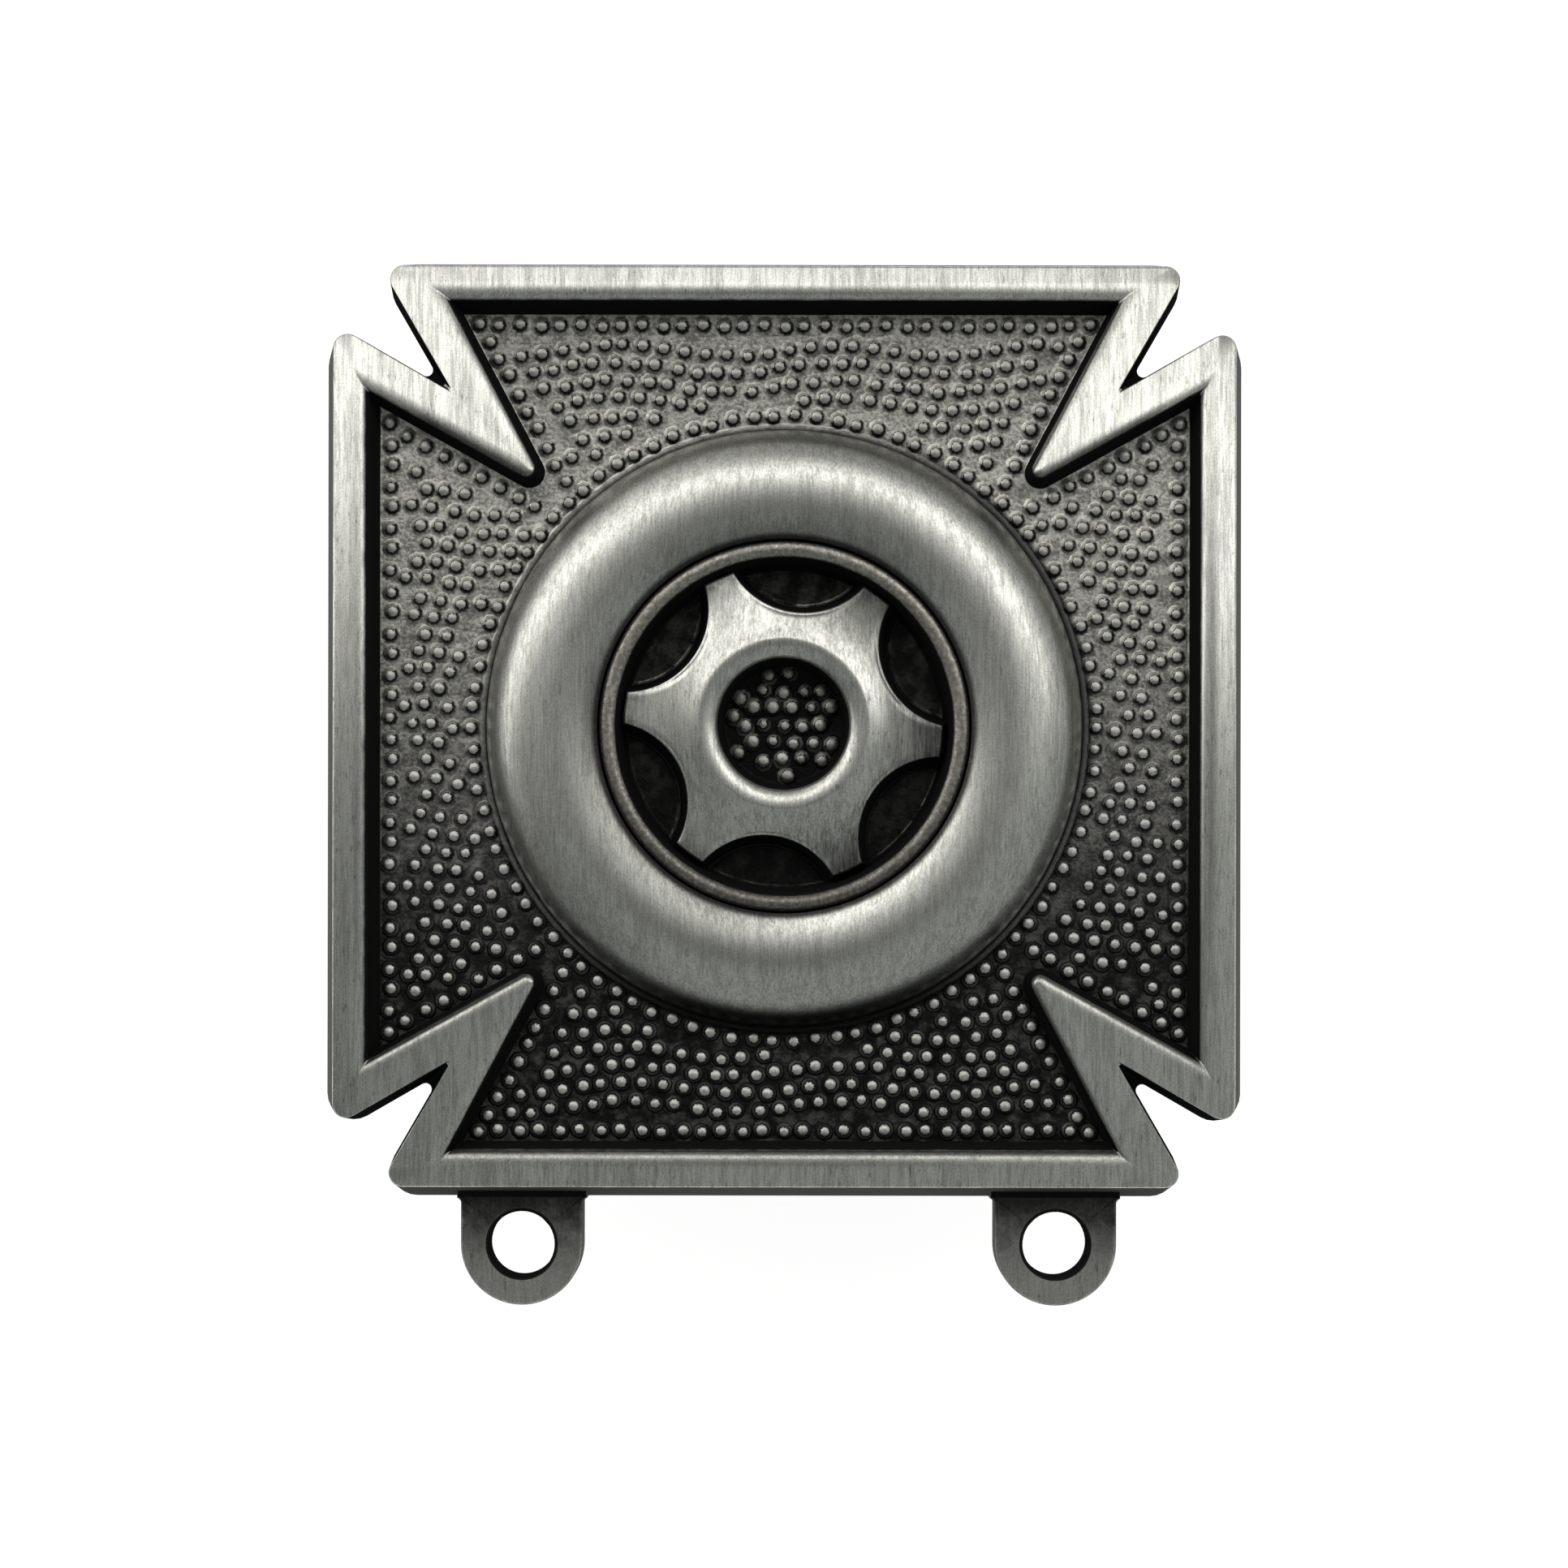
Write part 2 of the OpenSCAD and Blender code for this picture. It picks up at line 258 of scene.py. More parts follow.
class Nodes:
    """Adds nodes to a tree and hands out their sockets, so that a formula reads as a line of code."""

    def __init__(self, tree: bpy.types.NodeTree) -> None:
        """Starts on a tree that may already hold nodes."""
        self.tree = tree

    def node(self, kind: str, **settings: object) -> bpy.types.Node:
        """Adds a node of a kind and sets its properties.

        Args:
            kind: Blender's name for the kind.
            settings: Its properties.

        Returns:
            The node.
        """
        made = self.tree.nodes.new(kind)
        for name, value in settings.items():
            setattr(made, name, value)
        return made

    def feed(self, socket: Socket, value: object) -> None:
        """Links a socket to another one, or sets it to a constant.

        Args:
            socket: The input.
            value: A socket, a constant, or None to leave it.
        """
        if isinstance(value, bpy.types.NodeSocket):
            self.tree.links.new(value, socket)
        elif value is not None:
            if socket.type == "RGBA" and len(value) == 3:
                value = (*value, 1)
            socket.default_value = value

    def calc(self, operation: str, a: object, b: object = None, c: object = None) -> Socket:
        """A Math node of up to three values.

        Args:
            operation: Blender's name for it.
            a: The first value.
            b: The second, if it takes one.
            c: The third, if it takes one.

        Returns:
            The result.
        """
        made = self.node("ShaderNodeMath", operation=operation)
        for socket, value in zip(made.inputs, (a, b, c)):
            self.feed(socket, value)
        return made.outputs[0]

    def vector(self, operation: str, a: object, b: object = None) -> Socket:
        """A Vector Math node of two vectors.

        Args:
            operation: Blender's name for it.
            a: The first vector.
            b: The second, if it takes one.

        Returns:
            The result, a number for a length.
        """
        made = self.node("ShaderNodeVectorMath", operation=operation)
        self.feed(made.inputs[0], a)
        self.feed(made.inputs[1], b)
        return made.outputs["Value" if operation in ("LENGTH", "DOT_PRODUCT") else 0]

    def split(self, vector: Socket) -> list[Socket]:
        """The three parts of a vector.

        Args:
            vector: The vector.

        Returns:
            X, Y and Z.
        """
        made = self.node("ShaderNodeSeparateXYZ")
        self.feed(made.inputs[0], vector)
        return list(made.outputs)

    def joined(self, x: object, y: object, z: object) -> Socket:
        """A vector from its three parts.

        Args:
            x: Its X.
            y: Its Y.
            z: Its Z.

        Returns:
            The vector.
        """
        made = self.node("ShaderNodeCombineXYZ")
        for socket, value in zip(made.inputs, (x, y, z)):
            self.feed(socket, value)
        return made.outputs[0]


class Shades(Nodes):
    """The nodes that a shader tree uses."""

    def rise(self, value: object, low: float, high: float, at_low: float = 0, at_high: float = 1) -> Socket:
        """A smooth change from at_low to at_high while the value goes from low to high.

        Args:
            value: The value.
            low: Where the result is at_low. It may lie above high.
            high: Where the result is at_high.
            at_low: The result at low.
            at_high: The result at high.

        Returns:
            The number between.
        """
        made = self.node("ShaderNodeMapRange", interpolation_type="SMOOTHSTEP")
        if low > high:
            low, high, at_low, at_high = high, low, at_high, at_low
        for socket, number in zip(made.inputs, (value, low, high, at_low, at_high)):
            self.feed(socket, number)
        return made.outputs[0]

    def product(self, *values: object) -> Socket:
        """All the values multiplied.

        Args:
            values: Sockets or constants, a socket first.

        Returns:
            The product.
        """
        result = values[0]
        for value in values[1:]:
            result = self.calc("MULTIPLY", result, value)
        return result

    def mix(self, share: object, a: object, b: object) -> Socket:
        """A colour between a and b.

        Args:
            share: From 0 for a to 1 for b.
            a: A colour.
            b: A colour.

        Returns:
            The mixed colour.
        """
        made = self.node("ShaderNodeMix", data_type="RGBA")
        ends = [s for s in made.inputs if s.type == "RGBA"]
        self.feed(made.inputs[0], share)
        self.feed(ends[0], a)
        self.feed(ends[1], b)
        return next(s for s in made.outputs if s.type == "RGBA")

    def blend(self, share: object, a: object, b: object) -> Socket:
        """A number between a and b.

        Args:
            share: From 0 for a to 1 for b.
            a: A number.
            b: A number.

        Returns:
            The blended number.
        """
        made = self.node("ShaderNodeMix", data_type="FLOAT")
        self.feed(made.inputs[0], share)
        self.feed(made.inputs[2], a)
        self.feed(made.inputs[3], b)
        return made.outputs[0]

    def scaled(self, vector: object, factor: object) -> Socket:
        """A vector made longer by a factor.

        Args:
            vector: The vector.
            factor: The factor.

        Returns:
            The longer vector.
        """
        made = self.node("ShaderNodeVectorMath", operation="SCALE")
        self.feed(made.inputs[0], vector)
        self.feed(made.inputs["Scale"], factor)
        return made.outputs[0]

    def bump(self, height: Socket, depth: float, normal: Socket | None = None) -> Socket:
        """A normal that follows small heights.

        Args:
            height: The height, in shares of the depth.
            depth: How deep a height of 1 is, in metres.
            normal: The normal to start from, if it isn't the surface's own.

        Returns:
            The normal.
        """
        made = self.node("ShaderNodeBump")
        for name, value in (("Strength", 1.0), ("Distance", depth), ("Height", height), ("Normal", normal)):
            self.feed(made.inputs[name], value)
        return made.outputs[0]

    def noise(self, vector: Socket, scale: float, detail: float = 2, rough: float = 0.5) -> Socket:
        """Noise from 0 to 1 at a number of patches for each unit of the vector.

        Args:
            vector: The place.
            scale: Patches for each unit.
            detail: Finer layers.
            rough: How strong they are.

        Returns:
            The noise.
        """
        made = self.node("ShaderNodeTexNoise")
        for name, value in (("Vector", vector), ("Scale", scale), ("Detail", detail), ("Roughness", rough)):
            self.feed(made.inputs[name], value)
        return made.outputs[0]

    def group(self, tree: bpy.types.NodeTree, **values: object) -> bpy.types.Node:
        """Places a node group and feeds its inputs, whose names are written with underscores here.

        Args:
            tree: The group.
            values: What its inputs get.

        Returns:
            The group's node.
        """
        made = self.node("ShaderNodeGroup", node_tree=tree)
        for name, value in values.items():
            self.feed(made.inputs[name.replace("_", " ")], value)
        return made


def new_material(name: str) -> tuple[bpy.types.Material, Shades, bpy.types.Node]:
    """Starts a material.

    Args:
        name: Its name.

    Returns:
        The material, its nodes, and the one of them that shades its surface.
    """
    made = bpy.data.materials.new(name)
    made.use_nodes = True
    return made, Shades(made.node_tree), made.node_tree.nodes["Principled BSDF"]


def new_group(
    name: str, inputs: dict[str, float | None], outputs: Sequence[str]
) -> tuple[Shades, dict[str, Socket], dict[str, Socket]]:
    """Starts a shader node group.

    Args:
        name: Name of the group.
        inputs: A default for each number, or None for a vector.
        outputs: Names of the numbers that it puts out.

    Returns:
        The group's nodes, its input sockets and its output sockets by name.
    """
    tree = bpy.data.node_groups.new(name, "ShaderNodeTree")
    for key, default in inputs.items():
        kind = "NodeSocketVector" if default is None else "NodeSocketFloat"
        socket = tree.interface.new_socket(key, in_out="INPUT", socket_type=kind)
        if default is not None:
            socket.default_value = default
    for key in outputs:
        tree.interface.new_socket(key, in_out="OUTPUT", socket_type="NodeSocketFloat")
    nodes = Shades(tree)
    given, put = nodes.node("NodeGroupInput"), nodes.node("NodeGroupOutput")
    return nodes, {key: given.outputs[key] for key in inputs}, {key: put.inputs[key] for key in outputs}


def brush_group() -> bpy.types.NodeTree:
    """Marks of a wire brush drawn along Y: fine streaks, broken off at a length, with a few deep ones.

    Returns:
        The group, which puts out the streaks and the deep marks.
    """
    inputs = {"Place": None, "Fine": 12.0, "Length": 2.0}
    nodes, given, put = new_group("brush_marks", inputs, ("Streaks", "Deep"))
    x, y, z = nodes.split(given["Place"])
    across = nodes.calc("MULTIPLY", x, given["Fine"])
    along = nodes.calc("DIVIDE", y, given["Length"])
    level = nodes.calc("MULTIPLY", z, given["Fine"])
    place = nodes.joined(across, along, level)
    broad = nodes.noise(place, 0.25, 3, 0.6)
    thin = nodes.noise(nodes.vector("ADD", place, (31.7, 3.1, 0.0)), 1.0, 4, 0.75)
    nodes.feed(put["Streaks"], nodes.calc("MULTIPLY_ADD", broad, 0.35, nodes.calc("MULTIPLY", thin, 0.65)))
    short = nodes.vector("MULTIPLY", nodes.vector("ADD", place, (7.3, 11.9, 0.0)), (1.0, 2.5, 1.0))
    nodes.feed(put["Deep"], nodes.rise(nodes.noise(short, 0.9, 3, 0.6), 0.56, 0.68))
    return nodes.tree


def mottle_group() -> bpy.types.NodeTree:
    """Uneven, cloudy ground with grain and fine grit, as a dip in a blackening bath leaves it.

    Returns:
        The group, which puts out three noises from coarse to fine.
    """
    nodes, given, put = new_group("mottle", {"Place": None, "Patches": 3.0}, ("Cloud", "Grain", "Grit"))
    scale = nodes.joined(given["Patches"], given["Patches"], given["Patches"])
    place = nodes.vector("MULTIPLY", given["Place"], scale)
    nodes.feed(put["Cloud"], nodes.noise(place, 0.6, 4, 0.6))
    nodes.feed(put["Grain"], nodes.noise(place, 3.0, 4, 0.65))
    nodes.feed(put["Grit"], nodes.noise(place, 7.0, 2, 0.6))
    return nodes.tree


# Geometry node trees


def geometry_tree(
    name: str, inputs: dict[str, tuple[str, object]]
) -> tuple[Nodes, dict[str, Socket], Socket]:
    """Starts a geometry node tree with named inputs.

    Args:
        name: Name of the tree.
        inputs: Socket type and default of each input after the geometry.

    Returns:
        The tree's nodes, its input sockets by name, and the socket for the finished geometry.
    """
    tree = bpy.data.node_groups.new(name, "GeometryNodeTree")
    tree.is_modifier = True
    tree.interface.new_socket("Geometry", in_out="INPUT", socket_type="NodeSocketGeometry")
    for key, (kind, default) in inputs.items():
        socket = tree.interface.new_socket(key, in_out="INPUT", socket_type=kind)
        if default is not None:
            socket.default_value = default
    tree.interface.new_socket("Geometry", in_out="OUTPUT", socket_type="NodeSocketGeometry")
    nodes = Nodes(tree)
    given, put = nodes.node("NodeGroupInput"), nodes.node("NodeGroupOutput")
    return nodes, {s.name: s for s in given.outputs if s.name}, put.inputs["Geometry"]


def grid_place(nodes: Nodes, columns: Socket, rows: Socket) -> tuple[Socket, Socket, Socket]:
    """A flat grid, and each point's place on it.

    Args:
        nodes: The tree's nodes.
        columns: Cells across.
        rows: Cells along.

    Returns:
        The grid, and the shares from 0 to 1 across and along it.
    """
    sheet = nodes.node("GeometryNodeMeshGrid")
    nodes.feed(sheet.inputs["Size X"], 1.0)
    nodes.feed(sheet.inputs["Size Y"], 1.0)
    nodes.feed(sheet.inputs["Vertices X"], nodes.calc("ADD", columns, 1.0))
    nodes.feed(sheet.inputs["Vertices Y"], nodes.calc("ADD", rows, 1.0))
    x, y, _ = nodes.split(nodes.node("GeometryNodeInputPosition").outputs[0])
    return sheet.outputs["Mesh"], nodes.calc("ADD", x, 0.5), nodes.calc("ADD", y, 0.5)


def wrapped(nodes: Nodes, sheet: Socket, angle: Socket, radius: Socket, height: Socket) -> Socket:
    """Wraps a grid about the axis and welds its seam and poles.

    Args:
        nodes: The tree's nodes.
        sheet: The grid.
        angle: Angle of each point.
        radius: Distance of each point from the axis.
        height: Height of each point.

    Returns:
        The closed surface.
    """
    place = nodes.node("GeometryNodeSetPosition")
    nodes.feed(place.inputs["Geometry"], sheet)
    x = nodes.calc("MULTIPLY", radius, nodes.calc("COSINE", angle))
    y = nodes.calc("MULTIPLY", radius, nodes.calc("SINE", angle))
    nodes.feed(place.inputs["Position"], nodes.joined(x, y, height))
    weld = nodes.node("GeometryNodeMergeByDistance")
    nodes.feed(weld.inputs["Geometry"], place.outputs[0])
    nodes.feed(weld.inputs["Distance"], 0.0005 * MM)
    return weld.outputs[0]


def finished(nodes: Nodes, geometry: Socket, material: Socket, out: Socket) -> None:
    """Ends a tree with realized instances in one material.

    Args:
        nodes: The tree's nodes.
        geometry: What the tree made.
        material: Its finish.
        out: The tree's output.
    """
    real = nodes.node("GeometryNodeRealizeInstances")
    nodes.feed(real.inputs["Geometry"], geometry)
    dress = nodes.node("GeometryNodeSetMaterial")
    nodes.feed(dress.inputs["Geometry"], real.outputs[0])
    nodes.feed(dress.inputs["Material"], material)
    nodes.feed(out, dress.outputs[0])


def ring_tree() -> bpy.types.NodeTree:
    """Turns a ring of elliptical section that is cut straight at an inner radius and at its root.

    Returns:
        The tree.
    """
    lengths = ("Crown Radius", "Half Width", "Rise", "Base Height", "Inner Radius", "Root Height")
    nodes, given, out = geometry_tree("turned_ring", {
        **{key: ("NodeSocketFloat", MM) for key in lengths},
        "Around": ("NodeSocketInt", 192),
        "Section": ("NodeSocketInt", 72),
        "Material": ("NodeSocketMaterial", None),
    })
    sheet, across, along = grid_place(nodes, given["Around"], given["Section"])
    section = nodes.calc("MULTIPLY", along, TURN)
    outwards, upwards = nodes.calc("COSINE", section), nodes.calc("SINE", section)
    radius = nodes.calc("MULTIPLY_ADD", outwards, given["Half Width"], given["Crown Radius"])
    radius = nodes.calc("MAXIMUM", radius, given["Inner Radius"])
    height = nodes.calc("MULTIPLY_ADD", upwards, given["Rise"], given["Base Height"])
    height = nodes.calc("MAXIMUM", height, given["Root Height"])
    ring = wrapped(nodes, sheet, nodes.calc("MULTIPLY", across, TURN), radius, height)
    finished(nodes, ring, given["Material"], out)
    return nodes.tree


def peg_shape(nodes: Nodes, given: dict[str, Socket]) -> Socket:
    """One peg about the origin: a round cap, steep sides, a hollow foot and a root that goes into the plate.

    Args:
        nodes: The tree's nodes.
        given: The tree's input sockets by name.

    Returns:
        The peg's closed mesh.
    """
    rows = nodes.calc("ADD", given["Rings"], 1.0)
    sheet, across, along = grid_place(nodes, given["Sides"], rows)
    ring = nodes.calc("DIVIDE", nodes.calc("MULTIPLY", along, rows), given["Rings"])

    # The last row of the grid lies under the peg and closes it
    under = nodes.calc("GREATER_THAN", ring, 1.02)
    share = nodes.calc("POWER", nodes.calc("MINIMUM", ring, 1.0), 0.6)
    reach = nodes.calc("MULTIPLY", share, given["Foot Radius"])
    radius = nodes.calc("MULTIPLY", reach, nodes.calc("SUBTRACT", 1.0, under))
    steep = nodes.calc("POWER", nodes.calc("DIVIDE", radius, given["Cap Radius"]), given["Steepness"])
    fall = nodes.calc("EXPONENT", nodes.calc("MULTIPLY", steep, -1.0))
    sink = 0.003 * MM
    top = nodes.calc("MULTIPLY", fall, nodes.calc("ADD", given["Peg Height"], sink))
    top = nodes.calc("SUBTRACT", top, sink)
    root = nodes.calc("MULTIPLY_ADD", given["Peg Height"], -1.3, -0.02 * MM)
    height = nodes.calc("MULTIPLY_ADD", under, root, top)
    return wrapped(nodes, sheet, nodes.calc("MULTIPLY", across, -TURN), radius, height)


def peg_tree() -> bpy.types.NodeTree:
    """Sets a peg on every point of a mesh, each of its own size and tilt.

    Returns:
        The tree.
    """
    nodes, given, out = geometry_tree("stipple_pegs", {
        "Cap Radius": ("NodeSocketFloat", 0.2 * MM),
        "Foot Radius": ("NodeSocketFloat", 0.285 * MM),
        "Peg Height": ("NodeSocketFloat", 0.19 * MM),
        "Steepness": ("NodeSocketFloat", 5.0),
        "Sides": ("NodeSocketInt", 10),
        "Rings": ("NodeSocketInt", 6),
        "Size Change": ("NodeSocketFloat", 0.1),
        "Tilt": ("NodeSocketFloat", 0.1),
        "Seed": ("NodeSocketInt", 4),
        "Material": ("NodeSocketMaterial", None),
    })
    size = nodes.node("FunctionNodeRandomValue", data_type="FLOAT")
    numbers = [s for s in size.inputs if s.type == "VALUE"]
    nodes.feed(numbers[0], nodes.calc("SUBTRACT", 1.0, given["Size Change"]))
    nodes.feed(numbers[1], nodes.calc("ADD", 1.0, given["Size Change"]))
    nodes.feed(size.inputs["Seed"], given["Seed"])

    lean = nodes.node("FunctionNodeRandomValue", data_type="FLOAT_VECTOR")
    ends = [s for s in lean.inputs if s.type == "VECTOR"]
    other_way = nodes.calc("MULTIPLY", given["Tilt"], -1.0)
    nodes.feed(ends[0], nodes.joined(other_way, other_way, 0.0))
    nodes.feed(ends[1], nodes.joined(given["Tilt"], given["Tilt"], TURN))
    nodes.feed(lean.inputs["Seed"], nodes.calc("ADD", given["Seed"], 1.0))

    scatter = nodes.node("GeometryNodeInstanceOnPoints")
    nodes.feed(scatter.inputs["Points"], given["Geometry"])
    nodes.feed(scatter.inputs["Instance"], peg_shape(nodes, given))
    nodes.feed(scatter.inputs["Scale"], next(s for s in size.outputs if s.type == "VALUE" and s.enabled))
    nodes.feed(scatter.inputs["Rotation"], next(s for s in lean.outputs if s.type == "VECTOR"))
    finished(nodes, scatter.outputs[0], given["Material"], out)
    return nodes.tree


def grown_by(obj: bpy.types.Object, tree: bpy.types.NodeTree, **values: object) -> bpy.types.Object:
    """Runs a geometry node tree on an object and keeps the result as its plain mesh.

    Args:
        obj: The object that the tree starts from.
        tree: The tree.
        values: Its inputs, whose names are written with underscores here.

    Returns:
        The same object.
    """
    step = obj.modifiers.new(tree.name, "NODES")
    step.node_group = tree
    sockets = {s.name: s.identifier for s in tree.interface.items_tree if s.in_out == "INPUT"}
    for name, value in values.items():
        step[sockets[name.replace("_", " ")]] = value
    return plain(obj)


# Sub-assemblies


@dataclass
class Cross:
    """The struck cross: its outer walls, the rim and the pocket inside it."""

    # The rim's outer edge, its heights, and the walls that lean out below it
    top_x: float = 12.3
    top_y: float = 12.55
    rim_z: float = 2.1
    field_z: float = 1.1
    rim_w: float = 0.73
    notch: tuple[float, float] = (9.01, 9.05)
    notch_angle: float = math.radians(30)
    notch_lean: float = 0.45
    end_r: float = 0.34
    notch_r: float = 0.04
    notch_growth: float = 0.13
    side_lean: float = 0.4
    edge_round: float = 0.06
    edge_fall: float = 0.02
    skirt: tuple[tuple[float, float], ...] = ((0.3, 0.0), (0.37, 0.03), (0.4, 0.1))

    # The pocket: its corners and spikes, its rolled edge, its drafted walls and the fillet at their foot
    in_corner: float = 9.38
    spike_at: float = 6.62
    spike_r: float = 0.17
    spike_lean: float = 0.62
    pocket_r: float = 0.03
    crest: float = 0.3
    roll_in: float = 0.2
    roll_drop: float = 0.37
    draft: float = 0.42
    foot: float = 0.07
    arc_steps: int = 8

    def outer_loop(self) -> np.ndarray:
        """Corners of the rim's outer edge.

        Returns:
            Its twelve corners.
        """
        x, y = self.notch
        slope = math.tan(self.notch_angle)
        side = (self.top_x, y + (self.top_x - x) * slope)
        end = (x + (self.top_y - y) * slope, self.top_y)
        return four_ways([side, (x, y), end])

    def inner_loop(self) -> np.ndarray:
        """Corners of the pocket at the rim's top.

        Returns:
            Its twelve corners.
        """
        return four_ways([
            (self.top_x - self.rim_w, self.in_corner),
            (self.spike_at, self.spike_at),
            (self.in_corner, self.top_y - self.rim_w),
        ])

    def outer_section(self, out: float) -> np.ndarray:
        """The outer outline, moved out by a distance.

        Args:
            out: The distance.

        Returns:
            The points of the outline.
        """
        share = out / self.side_lean
        loop = grown(self.outer_loop(), [out * self.notch_lean, out * self.notch_lean, out])
        ends = self.end_r + out
        return rounded(loop, [ends, self.notch_r + self.notch_growth * share, ends], self.arc_steps)

    def beside_spike(self, inwards: float) -> float:
        """How far the pocket's walls move beside the spikes, where they stand steeper."""
        return inwards * (self.spike_lean if inwards > 0 else 1)

    def pocket_loop(self, inwards: float) -> np.ndarray:
        """Corners of the pocket, moved in by a distance, and by less of it beside the spikes."""
        beside = self.beside_spike(inwards)
        return grown(self.inner_loop(), [-beside, -beside, -inwards])

    def pocket_section(self, inwards: float) -> np.ndarray:
        """The pocket's outline with round corners, moved in as its loop is."""
        spike_r = max(self.spike_r + self.beside_spike(inwards), 0.02)
        return rounded(self.pocket_loop(inwards), [self.pocket_r, spike_r, self.pocket_r], self.arc_steps)

    def object(self) -> bpy.types.Object:
        """Makes the closed cross, with rolled edges on the rim and a small fillet about the pocket's floor.

        Returns:
            The cross without its wheel, stipple and eyelets.
        """
        shell = Shell()
        for out, z in self.skirt:
            shell.add(self.outer_section(out), z)
        top = self.rim_z - self.edge_fall
        for s, c in quarter_arc(5):
            shell.add(self.outer_section(self.edge_round * c), top - self.edge_round * (1 - s))
        shell.add(self.outer_section(-0.03), top + 0.005)
        shell.add(self.pocket_section(-self.crest - 0.02), self.rim_z - 0.001)
        roll = self.roll_in + self.crest
        for s, c in quarter_arc(10):
            shell.add(self.pocket_section(-self.crest + roll * s), self.rim_z - self.roll_drop * (1 - c))
        for s, c in quarter_arc(3):
            inwards = self.draft - 0.02 + self.foot * (1 - c)
            shell.add(self.pocket_section(inwards), self.field_z + self.foot * (1 - s))
        return shell.object("cross", ring=False)


@dataclass
class Wheel:
    """The disc wheel: tyre, bead, well, and the disc with its hand holes and its hub."""

    # The tyre, which stands on the field, and the thin lip about its foot
    field_z: float = 1.1
    tyre_r: float = 8.24
    crown_r: float = 6.24
    tyre_rise: float = 1.6
    lip_out: float = 0.06
    lip_half: float = 0.13
    lip_rise: float = 0.06
    lip_root: float = 0.05

    # The rim's bead, the well, and how deep all of the wheel is rooted in the plate
    bead_r: float = 5.1
    bead_z: float = 2.12
    bead_foot: tuple[tuple[float, float], ...] = ((0.17, 0.14), (0.19, 0.06), (0.23, 0.015), (0.29, 0.0))
    bead_sides: int = 192
    well_r: float = 4.58
    well_z: float = 0.95
    cutter_sides: int = 128
    root: float = 0.7

    # The disc and its hand holes
    disc_r: float = 4.36
    disc_shift: tuple[float, float] = (-0.03, 0.08)
    disc_edge_z: float = 1.82
    disc_slope: float = 1.7
    disc_soft: float = 0.06
    disc_foot: tuple[tuple[float, float], ...] = ((0.17, 0.0), (0.09, 0.02), (0.035, 0.07), (0.0, 0.2))
    disc_rings: tuple[float, ...] = (1.0, 0.85, 0.7, 0.55, 0.4, 0.3, 0.2, 0.12, 0.06, 0.03)
    wall_lean: float = 0.2
    hand_holes: int = 6
    hand_turn: float = math.radians(24)
    hand_at: float = 5.29
    hand_r: float = 2.24
    bite_steps: int = 28
    tip_steps: int = 6

    # The hub's hole and the shoulder around it
    hub_r: float = 1.84
    hub_z: float = 2.3
    hub_foot: tuple[tuple[float, float], ...] = ((0.19, 0.14), (0.205, 0.06), (0.24, 0.015), (0.3, 0.0))
    shoulder_r: float = 0.42
    shoulder_lean: float = math.radians(42)
    shoulder_gap: float = 0.08

    def star(self, out: float) -> np.ndarray:
        """Outline of the disc between its hand holes.

        Args:
            out: How far the outline is moved outwards.

        Returns:
            Its points, the same number for every distance.
        """
        tip_r, bite_r = self.disc_r + out, self.hand_r - out
        corner = math.acos((tip_r**2 + self.hand_at**2 - bite_r**2) / (2 * tip_r * self.hand_at))
        step = TURN / self.hand_holes
        points = []
        for k in range(self.hand_holes):
            middle = self.hand_turn + k * step
            for share in np.linspace(-1, 1, self.bite_steps + 1):
                a = corner * math.sin(share * math.pi / 2)
                half_chord = math.sqrt(max(bite_r**2 - (self.hand_at * math.sin(a)) ** 2, 0.0))
                points.append((self.hand_at * math.cos(a) - half_chord, middle + a))
            tip = step - 2 * corner
            points += [(tip_r, middle + corner + tip * j / self.tip_steps) for j in range(1, self.tip_steps)]
        r, a = np.array(points).T
        return np.stack([r * np.cos(a), r * np.sin(a)], axis=1)

    def dome(self, radius: np.ndarray) -> np.ndarray:
        """Height of the disc's top at a radius.

        Args:
            radius: The radius of each point.

        Returns:
            The height of each point.
        """
        start = self.hub_r + self.shoulder_r + self.shoulder_gap
        share = np.clip((radius - start) / (self.disc_r - start), 0, 1)
        return self.hub_z - (self.hub_z - self.disc_edge_z) * (1 - (1 - share) ** self.disc_slope)

    def disc(self) -> bpy.types.Object:
        """Makes the disc, with drafted walls, a fillet at their foot, a soft edge and a shoulder at the hub.

        Returns:
            The disc.
        """
        shell, soft = Shell(), self.disc_soft
        shell.add(self.star(self.wall_lean + 0.19), self.root)
        for out, up in self.disc_foot:
            shell.add(self.star(self.wall_lean + out), self.well_z + up)
        top = self.star(0)
        edge_z = self.dome(np.linalg.norm(top, axis=1))
        for s, c in quarter_arc(4):
            shell.add(self.star(0.03 - (0.03 + soft) * (1 - c)), edge_z - soft * (1 - s))
        rim = self.star(-soft - 0.02)
        inner = rim / np.linalg.norm(rim, axis=1)[:, None]
        for share in self.disc_rings:
            loop = inner * (self.hub_r + self.shoulder_r) * (1 - share) + rim * share
            shell.add(loop, self.dome(np.linalg.norm(loop, axis=1)))
        bend = self.shoulder_r / math.sin(self.shoulder_lean)
        for lean in np.linspace(0, self.shoulder_lean, 8):
            radius = self.hub_r + self.shoulder_r - bend * math.sin(lean)
            shell.add(inner * radius, self.hub_z - bend * (1 - math.cos(lean)))
        shoulder_z = self.hub_z - bend * (1 - math.cos(self.shoulder_lean))
        shell.add(inner * (self.hub_r - 0.025), shoulder_z - 0.05)
        for r, up in self.hub_foot:
            shell.add(inner * (self.hub_r - r), self.well_z + up)
        shell.add(inner * (self.hub_r - 0.32), self.root)
        return shell.object("disc", ring=True, shift=self.disc_shift)

